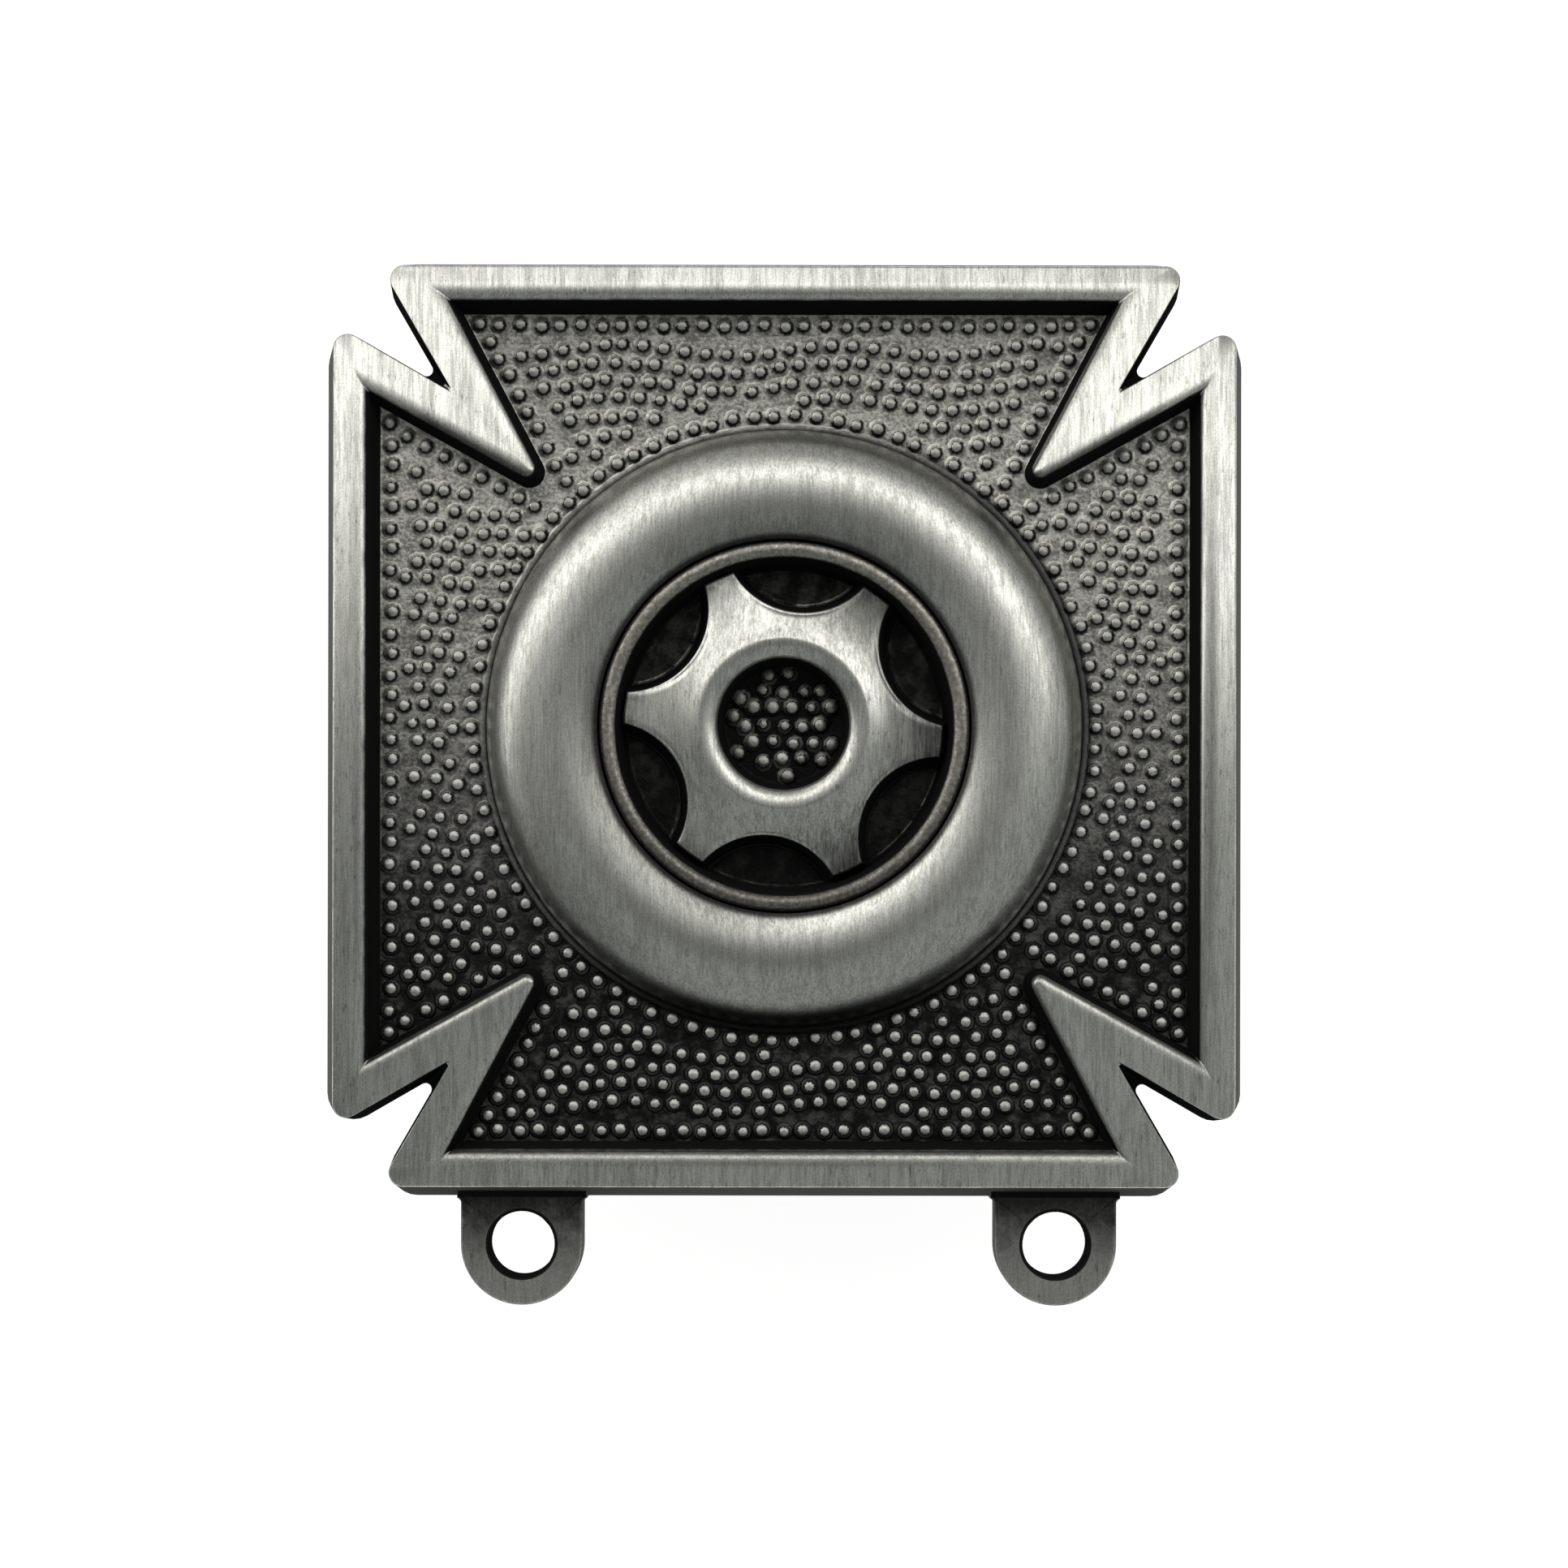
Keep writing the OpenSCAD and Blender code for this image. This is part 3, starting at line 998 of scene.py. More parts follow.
    def bead(self) -> bpy.types.Object:
        """Makes the rim's bead and the wall of the well under it.

        Returns:
            The bead.
        """
        shell, half = Shell(), (self.bead_r - self.well_r) / 2
        centre = self.well_r + half
        shell.add(circle(self.bead_r + 0.02, self.bead_sides), self.root)
        for a in np.linspace(0, math.pi, 15):
            shell.add(circle(centre + half * math.cos(a), self.bead_sides), self.bead_z + half * math.sin(a))
        for r, up in self.bead_foot:
            shell.add(circle(self.well_r - r, self.bead_sides), self.well_z + up)
        shell.add(circle(self.well_r - 0.31, self.bead_sides), self.root)
        return shell.object("bead", ring=True)

    def well(self) -> bpy.types.Object:
        """Makes the cutter that sinks the well into the plate.

        Returns:
            The cutter, whose wall the bead later covers.
        """
        shell = Shell()
        for height in (self.well_z, self.hub_z + 1):
            shell.add(circle(self.well_r + 0.2, self.cutter_sides), height)
        return shell.object("well", ring=False)

    def tyre(self, tree: bpy.types.NodeTree, material: bpy.types.Material) -> bpy.types.Object:
        """Makes the tyre.

        Args:
            tree: The tree that turns rings.
            material: The finish.

        Returns:
            The tyre.
        """
        start = linked("tyre", bpy.data.meshes.new("tyre"))
        return grown_by(
            start, tree, Crown_Radius=self.crown_r * MM, Half_Width=(self.tyre_r - self.crown_r) * MM,
            Rise=self.tyre_rise * MM, Base_Height=self.field_z * MM, Inner_Radius=self.bead_r * MM,
            Root_Height=self.root * MM, Around=216, Section=84, Material=material,
        )

    def lip(self, tree: bpy.types.NodeTree, material: bpy.types.Material) -> bpy.types.Object:
        """Makes the thin lip that the die left around the tyre's foot.

        Args:
            tree: The tree that turns rings.
            material: The finish.

        Returns:
            The lip.
        """
        start = linked("lip", bpy.data.meshes.new("lip"))
        return grown_by(
            start, tree, Crown_Radius=(self.tyre_r + self.lip_out) * MM, Half_Width=self.lip_half * MM,
            Rise=self.lip_rise * MM, Base_Height=self.field_z * MM, Inner_Radius=self.bead_r * MM,
            Root_Height=(self.field_z - self.lip_root) * MM, Around=160, Section=10, Material=material,
        )


@dataclass(frozen=True)
class PegKind:
    """How the pegs of one place differ from those of the other."""

    name: str
    cap_r: float
    size_change: float
    tilt: float


@dataclass
class Stipple:
    """The pegs on the field and in the hub, in the same rows as the part's source."""

    cross: Cross
    wheel: Wheel

    # Rows along the wall, about the tyre and between them
    pitch: float = 0.57
    clear: float = 0.45
    edge_gap: float = 0.27
    ring_gap: float = 0.32
    shake_by: float = 0.2
    row_shake: float = 0.8
    wave: float = 0.16
    wave_turn: float = math.radians(60)
    reach: tuple[float, float] = (12.7, 12.9)
    row_share: float = 0.87

    # Rows in the hub, and the small pegs along its wall
    hub_pitch: float = 0.54
    hub_half_rows: int = 3
    hub_row_step: float = 0.47
    hub_gap: float = 0.26
    hub_edge_r: float = 1.42
    hub_edge_steps: int = 17
    hub_edge_shake: float = 0.4
    hub_clear: float = 0.42

    # The pegs themselves
    peg_foot: float = 0.285
    foot_room: float = 1.12
    peg_height: float = 0.18
    steepness: float = 4.0
    sides: int = 9
    rings: int = 6
    field_pegs: PegKind = PegKind("field", 0.205, 0.05, 0.07)
    hub_pegs: PegKind = PegKind("hub", 0.21, 0.14, 0.2)
    first_seed: int = 4
    seed_step: int = 10

    def shake(self, i: int, j: int, k: int) -> float:
        """A small shift that looks irregular and is the same every time."""
        return (((i * 73 + j * 151 + i * j * 37 + k * 59) % 101) / 101 - 0.5) * self.shake_by

    def from_wall(self, p: np.ndarray) -> float:
        """Distance from a point to the foot of the pocket's wall.

        Args:
            p: The point.

        Returns:
            The distance.
        """
        foot = self.cross.pocket_section(self.cross.draft)
        b = np.roll(foot, -1, axis=0) - foot
        along = np.clip(((p - foot) * b).sum(axis=1) / (b * b).sum(axis=1), 0, 1)
        return float(np.linalg.norm(p - foot - along[:, None] * b, axis=1).min())

    def in_pocket(self, p: np.ndarray) -> bool:
        """True for a point inside the foot of the pocket's wall.

        Args:
            p: The point.

        Returns:
            Whether it lies inside.
        """
        q = np.abs(p)
        side, spike, top = self.cross.pocket_loop(self.cross.draft)[:3]

        def left_of(a: np.ndarray, b: np.ndarray) -> bool:
            """True if q lies to the left of the way from a to b."""
            return (b[0] - a[0]) * (q[1] - a[1]) - (b[1] - a[1]) * (q[0] - a[0]) > 0

        return bool(q[0] < side[0] and q[1] < top[1] and (not left_of(spike, side) or left_of(spike, top)))

    def edge_row(self) -> list[np.ndarray]:
        """Pegs along the foot of the pocket's wall.

        Returns:
            The middles of the pegs, but for those that would touch the tyre's row.
        """
        loop = grown(self.cross.pocket_loop(self.cross.draft), [-self.edge_gap])
        found = []
        for i, a in enumerate(loop):
            b = loop[(i + 1) % len(loop)]
            n = round(float(np.linalg.norm(b - a)) / self.pitch)
            inward = np.array([a[1] - b[1], b[0] - a[0]]) / np.linalg.norm(b - a)
            found.append(a)
            for k in range(1, n):
                along = k + self.row_shake * self.shake(i + 3, k, 3)
                off = self.row_shake * (self.shake(i + 3, k, 4) + self.shake_by / 2)
                found.append(a + (b - a) * along / n + inward * off * self.pitch)
        reach = self.wheel.tyre_r + 2 * self.ring_gap
        return [p for p in found if np.linalg.norm(p) > reach]

    def ring_row(self, edge: list[np.ndarray]) -> list[np.ndarray]:
        """Pegs around the tyre, clear of those along the wall.

        Args:
            edge: The pegs along the wall.

        Returns:
            The middles of the pegs.
        """
        r = self.wheel.tyre_r + self.ring_gap
        n = math.floor(TURN / 2 / math.asin(self.pitch / 2 / r))
        found = []
        for k in range(n):
            turn = (k + self.row_shake * self.shake(k, 7, 6)) * TURN / n
            off = self.row_shake * (self.shake(k, 7, 5) + self.shake_by / 2)
            p = (r + off * self.pitch) * np.array([math.cos(turn), math.sin(turn)])
            if self.in_pocket(p) and self.from_wall(p) > self.edge_gap and self.free(p, edge):
                found.append(p)
        return found

    def free(self, p: np.ndarray, others: list[np.ndarray]) -> bool:
        """True if a peg at p keeps clear of the others."""
        return float(np.linalg.norm(np.array(others) - p, axis=1).min()) > self.clear

    def field_rows(self, taken: list[np.ndarray]) -> list[np.ndarray]:
        """Staggered rows between the wall and the tyre.

        Args:
            taken: The pegs along the wall and the tyre.

        Returns:
            The middles of the pegs.
        """
        step = self.pitch * self.row_share
        rows_x, rows_y = math.ceil(self.reach[0] / self.pitch), math.ceil(self.reach[1] / step)
        found = []
        for j in range(-rows_y, rows_y + 1):
            for i in range(-rows_x, rows_x + 1):
                x = (i + (abs(j) % 2) / 2 + self.shake(i + 40, j + 40, 1)) * self.pitch
                y = (j + self.shake(i + 40, j + 40, 2)) * step
                aside = self.wave * math.sin(self.wave_turn * y)
                ahead = self.wave * math.sin(self.wave_turn * x)
                p = np.array([x + aside, y + ahead])
                if (np.linalg.norm(p) > self.wheel.tyre_r + self.ring_gap and self.in_pocket(p)
                        and self.from_wall(p) > self.edge_gap and self.free(p, taken)):
                    found.append(p)
        return found

    def hub_rows(self) -> list[np.ndarray]:
        """Pegs on the floor of the hub's hole.

        Returns:
            The middles of the pegs, those along the hole's wall last.
        """
        reach = self.wheel.hub_r - self.wheel.wall_lean - self.hub_gap
        found = []
        across = range(-self.hub_half_rows, self.hub_half_rows + 1)
        for j in across:
            for i in across:
                x = (i + (abs(j) % 2) / 2 + self.shake(i + 5, j + 5, 8)) * self.hub_pitch
                found.append(np.array([x, (j + self.shake(i + 5, j + 5, 9)) * self.hub_row_step]))
        found = [p for p in found if np.linalg.norm(p) < reach]
        return [p + self.wheel.disc_shift for p in found + self.hub_edge(found)]

    def hub_edge(self, taken: list[np.ndarray]) -> list[np.ndarray]:
        """Pegs that fill up the floor along the wall of the hub's hole.

        Args:
            taken: The pegs that are there.

        Returns:
            The middles of the added pegs.
        """
        found = []
        for k in range(self.hub_edge_steps):
            turn = TURN * k / self.hub_edge_steps
            radius = self.hub_edge_r + self.shake(k, 3, 2) * self.hub_edge_shake
            p = radius * np.array([math.cos(turn), math.sin(turn)])
            if float(np.linalg.norm(np.array(taken + found) - p, axis=1).min()) > self.hub_clear:
                found.append(p)
        return found

    def layers(self, feet: list[tuple[float, float, float]]) -> list[np.ndarray]:
        """Sorts pegs' feet so that no two feet of one layer overlap.

        Args:
            feet: The place of each foot.

        Returns:
            The feet of each layer.
        """
        layers: list[list[tuple[float, float, float]]] = []
        apart = 2 * self.peg_foot * self.foot_room
        for foot in feet:
            free = (layer for layer in layers
                    if np.linalg.norm(np.array(layer)[:, :2] - foot[:2], axis=1).min() > apart)
            home = next(free, None)
            if home is None:
                layers.append([foot])
            else:
                home.append(foot)
        return [np.array(layer) for layer in layers]

    def objects(self, tree: bpy.types.NodeTree, material: bpy.types.Material) -> list[bpy.types.Object]:
        """Makes the pegs, one object for each layer of them.

        Args:
            tree: The tree that sets a peg on each point.
            material: The finish.

        Returns:
            The objects, first those of the field and then those of the hub.
        """
        edge = self.edge_row()
        ring = self.ring_row(edge)
        on_field = [(*p, self.cross.field_z) for p in [*edge, *ring, *self.field_rows(edge + ring)]]
        in_hub = [(*p, self.wheel.well_z) for p in self.hub_rows()]
        log.info("stipple: %d pegs on the field, %d in the hub", len(on_field), len(in_hub))
        made = []
        for kind, feet in ((self.field_pegs, on_field), (self.hub_pegs, in_hub)):
            for k, layer in enumerate(self.layers(feet)):
                mesh = bpy.data.meshes.new(f"{kind.name}_pegs_{k}")
                mesh.from_pydata((layer * MM).tolist(), [], [])
                made.append(grown_by(
                    linked(mesh.name, mesh), tree, Cap_Radius=kind.cap_r * MM,
                    Foot_Radius=self.peg_foot * MM, Peg_Height=self.peg_height * MM,
                    Steepness=self.steepness, Sides=self.sides,
                    Rings=self.rings, Size_Change=kind.size_change, Tilt=kind.tilt,
                    Seed=self.first_seed + self.seed_step * k, Material=material,
                ))
        return made


@dataclass
class Eyelets:
    """The two tabs below, each with a round end and an eased hole."""

    gap: float = 14.7
    shift: float = 0.14
    drop: float = 14.22
    width: float = 3.36
    thick: float = 1.2
    hole_r: float = 0.9
    ease: float = 0.08
    root_r: float = 0.15
    root_y: float = 14.22 - 12.95
    embed: float = 0.9
    soft: float = 0.07

    def outline(self, inwards: float) -> np.ndarray:
        """The tab's outline about its hole's middle, from the right of its root, moved in by a distance.

        Args:
            inwards: The distance.

        Returns:
            The points of the outline.
        """
        half, r = self.width / 2 - inwards, self.root_r + inwards
        corner = self.width / 2 + self.root_r
        top = self.root_y + self.embed
        round_end = [(half * math.cos(a), half * math.sin(a)) for a in np.linspace(-math.pi, 0, 41)]
        root_low = self.root_y - self.root_r
        root = [(corner - r * math.cos(a), root_low + r * math.sin(a)) for a in np.linspace(0, 1.3, 6)]
        side = [(half, y) for y in np.linspace(0.2, root_low - 0.1, 4)]
        top_edge = [(x, top) for x in np.linspace(root[-1][0], -root[-1][0], 14)]
        back = [(-x, y) for x, y in reversed(root)] + [(-x, y) for x, y in reversed(side)]
        return np.array([*round_end, *side, *root, *top_edge, *back])

    def objects(self) -> list[bpy.types.Object]:
        """Makes the two tabs.

        Returns:
            The left tab and the right one.
        """
        outline = self.outline(0)
        toward = outline / np.linalg.norm(outline, axis=1)[:, None]
        shell, soft = Shell(), self.soft
        shell.add(self.outline(0.03), 0.0)
        shell.add(self.outline(0.0), 0.04)
        for s, c in quarter_arc(3):
            shell.add(self.outline(soft * (1 - c)), self.thick - soft * (1 - s))
        shell.add(self.outline(soft + 0.02), self.thick)
        shell.add(toward * (self.hole_r + self.ease + 0.02), self.thick)
        for s, c in quarter_arc(4):
            shell.add(toward * (self.hole_r + self.ease * (1 - s)), self.thick - self.ease * (1 - c))
        shell.add(toward * self.hole_r, 0.04)
        shell.add(toward * (self.hole_r + 0.03), 0.0)
        return [shell.object(f"eyelet_{name}", ring=True, shift=(self.shift + s * self.gap / 2, -self.drop))
                for name, s in (("left", -1), ("right", 1))]


@dataclass
class StruckBadge:
    """The whole struck piece, one closed mesh."""

    cross: Cross = field(default_factory=Cross)
    wheel: Wheel = field(default_factory=Wheel)
    eyelets: Eyelets = field(default_factory=Eyelets)
    sharp: float = math.radians(38)
    flat_weight: int = 90

    def object(self, material: bpy.types.Material) -> bpy.types.Object:
        """Strikes the badge.

        Args:
            material: The finish of all of it.

        Returns:
            The finished piece, riding on the frame in place of its solid.
        """
        ring, peg = ring_tree(), peg_tree()
        badge = combined(self.cross.object(), self.wheel.well(), Join.CUT)
        rings = [self.wheel.tyre(ring, material), self.wheel.lip(ring, material), self.wheel.bead()]
        pegs = Stipple(self.cross, self.wheel).objects
        for part in (*rings, self.wheel.disc(), *self.eyelets.objects(), *pegs(peg, material)):
            badge = combined(badge, part, Join.ADD)
        badge.name = badge.data.name = "struck_badge"
        badge.data.materials.clear()
        badge.data.materials.append(material)
        badge.data.polygons.foreach_set("material_index", [0] * len(badge.data.polygons))
        badge.data.shade_smooth()
        badge.data.set_sharp_from_angle(angle=self.sharp)
        flats = badge.modifiers.new("flats", "WEIGHTED_NORMAL")
        flats.weight, flats.keep_sharp = self.flat_weight, True
        plain(badge)
        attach(badge, BODY)
        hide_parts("badge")
        log.info("struck_badge: %d faces", len(badge.data.polygons))
        return badge


# Finishes


class Regions:
    """Where a point of the badge lies: its place in millimetres, its facing, and masks from 0 to 1."""

    def __init__(self, nodes: Shades, badge: StruckBadge) -> None:
        """Works out the masks in a material's tree, from Object coordinates.

        Args:
            nodes: The material's nodes.
            badge: The piece, whose sizes say where each mask begins and ends.
        """
        cross, wheel, eyelets = badge.cross, badge.wheel, badge.eyelets
        self.floor_z = cross.field_z
        coordinates = nodes.node("ShaderNodeTexCoord")
        self.place = nodes.scaled(coordinates.outputs["Object"], 1 / MM)
        x, y, z = nodes.split(self.place)
        self.x, self.y = x, y
        self.facing_x, self.facing_y, facing_z = nodes.split(coordinates.outputs["Normal"])
        self.up = nodes.calc("ABSOLUTE", facing_z)
        self.radius = nodes.vector("LENGTH", nodes.joined(x, y, 0.0))

        # The outer walls of the cross begin a little inside the edge of its rim
        across, along = nodes.calc("ABSOLUTE", x), nodes.calc("ABSOLUTE", y)
        past_side = nodes.calc("SUBTRACT", across, cross.top_x - 0.1)
        past_end = nodes.calc("SUBTRACT", along, cross.top_y - 0.1)
        outside = nodes.rise(nodes.calc("MAXIMUM", past_side, past_end), 0.0, 0.12)
        self.inside = nodes.calc("SUBTRACT", 1.0, outside)
        self.inner_spikes = nodes.rise(nodes.calc("MAXIMUM", across, along), 10.5, 9.6)

        # The eyelets, and the eased edges and walls of their holes
        below_cross = nodes.rise(y, -cross.top_y - 0.05, -cross.top_y - 0.17)
        thin = nodes.rise(z, eyelets.thick + 0.15, eyelets.thick + 0.05)
        self.eyelet = nodes.product(below_cross, thin)
        from_middle = nodes.calc("ABSOLUTE", nodes.calc("SUBTRACT", x, eyelets.shift))
        aside = nodes.calc("SUBTRACT", from_middle, eyelets.gap / 2)
        from_hole = nodes.vector("LENGTH", nodes.joined(aside, nodes.calc("ADD", y, eyelets.drop), 0.0))
        eased_r = eyelets.hole_r + eyelets.ease
        self.hole = nodes.rise(from_hole, eased_r + 0.06, eased_r)

        # The level is the height over the field's floor, and the same over the well's, which lies deeper
        self.in_well = self.within(nodes, wheel.well_r, 0.02, -0.08)
        self.in_hub = self.within(nodes, wheel.hub_r, 0.06, -0.02)
        self.level = nodes.calc("MULTIPLY_ADD", self.in_well, cross.field_z - wheel.well_z, z)
        on_floor = nodes.rise(self.level, cross.field_z + 0.12, cross.field_z + 0.02)
        self.low = nodes.product(on_floor, self.inside, nodes.rise(z, 0.0, 0.05))

        # The rim, the upper part of the walls inside it, and the pegs of the field and the hub
        past_tyre = self.within(nodes, wheel.tyre_r, 0.16, 0.36)
        self.on_rim = nodes.product(nodes.rise(z, cross.rim_z - 0.6, cross.rim_z - 0.4), past_tyre)
        upper_wall = nodes.rise(z, cross.rim_z - 0.7, cross.rim_z - 0.4)
        self.on_wall = nodes.product(upper_wall, past_tyre, self.inside)
        beside_tyre = self.within(nodes, wheel.tyre_r, -0.04, 0.06)
        pegged = nodes.calc("MAXIMUM", beside_tyre, self.in_hub)
        below_rim = nodes.rise(z, cross.field_z + 0.4, cross.field_z + 0.26)
        self.on_peg = nodes.product(below_rim, self.inside, pegged)

        # Rings of the wheel, from the tyre's foot inwards to the hub's hole
        self.on_tyre = self.ring(nodes, (wheel.tyre_r, 0.08, -0.04), (wheel.bead_r, 0.15, 0.4))
        # The ring at the tyre's foot where its painted shadow lies
        self.tyre_foot_shadow = self.ring(nodes, (wheel.tyre_r, 0.36, 0.16), (wheel.tyre_r, -0.19, -0.04))
        self.outer_flank = self.ring(nodes, (wheel.tyre_r, 0.36, 0.16), (wheel.tyre_r, -0.74, -0.24))
        self.inner_flank = self.ring(nodes, (wheel.bead_r, 0.9, 0.2), (wheel.bead_r, -0.1, 0.0))
        self.groove = self.ring(nodes, (wheel.bead_r, 0.24, 0.06), (wheel.bead_r, -0.1, -0.02))
        self.on_bead = self.ring(nodes, (wheel.bead_r, 0.2, 0.02), (wheel.well_r, -0.18, -0.08))
        self.on_disc = self.ring(nodes, (wheel.well_r, -0.08, -0.18), (wheel.hub_r, 0.66, 1.36))
        self.disc_edge = self.within(nodes, wheel.disc_r, -0.66, -0.06)
        self.disc_tips = self.within(nodes, wheel.disc_r, -1.36, -0.66)
        hub_height = nodes.rise(z, wheel.hub_z - 0.4, wheel.hub_z - 0.25)
        self.on_hub = nodes.product(self.within(nodes, wheel.hub_r, 0.56, 0.36), hub_height)

        # The light comes from above and a little from the left, and hardly reaches the lower field
        self.toward_light = nodes.calc("MULTIPLY_ADD", self.facing_x, -0.6, self.facing_y)
        self.lit_side = nodes.product(nodes.rise(self.toward_light, 0.2, 0.45), nodes.rise(y, -6.0, 3.0))

    def within(self, nodes: Shades, edge: float, none: float, full: float) -> Socket:
        """A mask about the axis that is 0 and 1 at two distances past a circle's edge."""
        return nodes.rise(self.radius, edge + none, edge + full)

    def ring(self, nodes: Shades, outer: Border, inner: Border) -> Socket:
        """A mask between two circles, each a radius and how far past it the mask is 0 and 1."""
        return nodes.product(self.within(nodes, *outer), self.within(nodes, *inner))


@dataclass(frozen=True)
class PatinaAndShade:
    """How much black lies on each place, from 0 to 1, or from its darkest spots to its lightest: patina in
    scars, pits, the groove, the well and at the disc's edge, painted shade and painted shadow on sides that
    face away from the light, and painted glints in the well.
    """

    scars: float = 0.5
    tyre_scars: float = 0.3
    pits: float = 0.22
    groove: float = 0.85
    inner_flank_above_shade: float = 0.5
    inner_flank_left: float = 0.6
    outer_flank_below_shade: float = 0.95
    outer_flank_right_shade: float = 0.35
    disc_streaks_shade: float = 0.55
    disc_right_shade: float = 0.5
    disc_right_tips_shade: float = 0.4
    disc_edge: float = 0.4
    bead_below_shade: float = 0.45
    spike_sides_shade: float = 0.65
    rolled_edges_shade: float = 0.42
    field_below_shade: tuple[float, float] = (0.99, 0.88)
    field_above: float = 0.35
    well: tuple[float, float] = (0.99, 0.92)
    well_painted_glints: float = 0.6
    tyre_foot_shadow: float = 0.9
    tab_shade: float = 0.93
    tab_root_shadow: float = 0.99


@dataclass(frozen=True)
class AntiqueSilver:
    """Silver plate that was blackened, then brushed bright on its high places."""

    # Colours of the metal, of the pegs' caps with their painted shade and painted highlights, of the ground,
    # and of the outer walls with their painted shade
    bright: Colour = (0.86, 0.86, 0.81)
    dull: Colour = (0.54, 0.54, 0.505)
    cap_and_highlight: Colour = (0.95, 0.94, 0.88)
    smoked_cap: Colour = (0.64, 0.64, 0.61)
    brown: Colour = (0.27, 0.245, 0.215)
    black: Colour = (0.012, 0.012, 0.012)
    ground: Colour = (0.75, 0.735, 0.69)
    smoke_and_shade: Colour = (0.30, 0.29, 0.27)
    side: Colour = (0.13, 0.13, 0.125)
    shaded_side: Colour = (0.085, 0.085, 0.08)

    # How far the brush reached, how far painted light goes up the walls that face up and left and onto the
    # pegs' lit sides, and the patina and painted shade of each place
    round_reach: float = 0.3
    upward_painted_light: float = 0.32
    leftward_painted_light: float = 0.2
    cloud_reach: float = 0.2
    cleared: tuple[float, float] = (0.62, 0.92)
    cap_level: tuple[float, float] = (0.132, 0.156)
    cap_ragged: float = 0.1
    crescent_level: tuple[float, float] = (0.128, 0.108)
    patina_and_shade: PatinaAndShade = PatinaAndShade()

    # The surface
    crown: tuple[float, float] = (0.020, 0.024)
    mark_depth: float = 0.0055
    rough: tuple[float, float] = (0.38, 0.28)
    matt: float = 0.12
    mark_fine: float = 17.0
    mark_length: float = 0.9
    mottle_patches: float = 3.0

    def blacked_over(self, nodes: Shades, colour: Socket, *masks: object) -> Socket:
        """A colour with black over it where all the masks hold."""
        return nodes.mix(nodes.product(*masks), colour, self.black)

    def swept_and_lit(self, nodes: Shades, at: Regions, patches: bpy.types.Node) -> Socket:
        """How far the brush cleared each point: all of the high places, caps of pegs, and smooth floors; and
        painted light, as bare metal on walls that face up and left and on the pegs' sides towards the light.

        Args:
            nodes: The material's nodes.
            at: The masks.
            patches: The mottle group's node.

        Returns:
            A mask, 1 where the metal is bare, only tarnished or lit by painted light, and 0 on walls that
            stayed black.
        """
        round_places = nodes.calc("MAXIMUM", at.on_tyre, at.on_hub)
        eased = nodes.calc("MULTIPLY_ADD", round_places, self.round_reach, at.up)

        # Walls that face up and left get more bare metal than the others: painted light from the upper left
        lit_upward = nodes.product(nodes.calc("MAXIMUM", at.facing_y, 0.0), self.upward_painted_light)
        toward = nodes.calc("MULTIPLY_ADD", at.facing_x, -self.leftward_painted_light, lit_upward)
        eased = nodes.calc("MULTIPLY_ADD", toward, at.on_wall, eased)
        eased = nodes.calc("MULTIPLY_ADD", patches.outputs["Cloud"], self.cloud_reach, eased)
        reached_and_lit = nodes.rise(eased, *self.cleared)

        # On the pegs it cleared ragged caps, and low on their sides towards the light bare metal is painted
        # in as painted highlights
        uneven = nodes.calc("SUBTRACT", patches.outputs["Grit"], 0.5)
        ragged = nodes.calc("MULTIPLY_ADD", uneven, self.cap_ragged, at.level)
        cap_low, cap_high = (at.floor_z + up for up in self.cap_level)
        caps = nodes.product(nodes.rise(ragged, cap_low, cap_high), nodes.rise(at.up, 0.6, 0.8))
        none, full = (at.floor_z + up for up in self.crescent_level)
        low_down = nodes.rise(at.level, none, full)
        crescents = nodes.product(at.lit_side, nodes.rise(at.up, 0.46, 0.56), low_down)
        reached_and_lit = nodes.blend(at.on_peg, reached_and_lit, nodes.calc("MAXIMUM", caps, crescents))
        floor = nodes.product(at.low, nodes.rise(at.up, 0.58, 0.8))
        return nodes.product(nodes.calc("MAXIMUM", reached_and_lit, floor), nodes.calc("SUBTRACT", 1.0, at.hole))

    def peg_colour(self, nodes: Shades, at: Regions, grain: Socket) -> Socket:
        """Colour of the pegs: grey caps, darker above as painted shade and darker in the hub, and painted
        highlights on the sides towards the light.

        Args:
            nodes: The material's nodes.
            at: The masks.
            grain: The mottle group's grain.

        Returns:
            The colour.
        """
        sooty_and_shaded = nodes.rise(grain, 0.52, 0.32, 0.0, 0.6)
        # Caps are darker towards the top: painted shade
        sooty_and_shaded = nodes.calc("MAXIMUM", sooty_and_shaded, nodes.rise(at.y, -1.0, 5.0, 0.0, 0.45))
        in_hub = nodes.product(at.in_hub, nodes.rise(at.radius, 0.7, 1.5, 0.45, 0.9))
        cap_and_highlight = nodes.mix(nodes.calc("MAXIMUM", sooty_and_shaded, in_hub), self.smoked_cap, self.smoke_and_shade)
        # Sides that face the light get a bright colour: painted highlights
        return nodes.mix(nodes.product(at.lit_side, nodes.rise(at.up, 0.95, 0.8)), cap_and_highlight, self.cap_and_highlight)

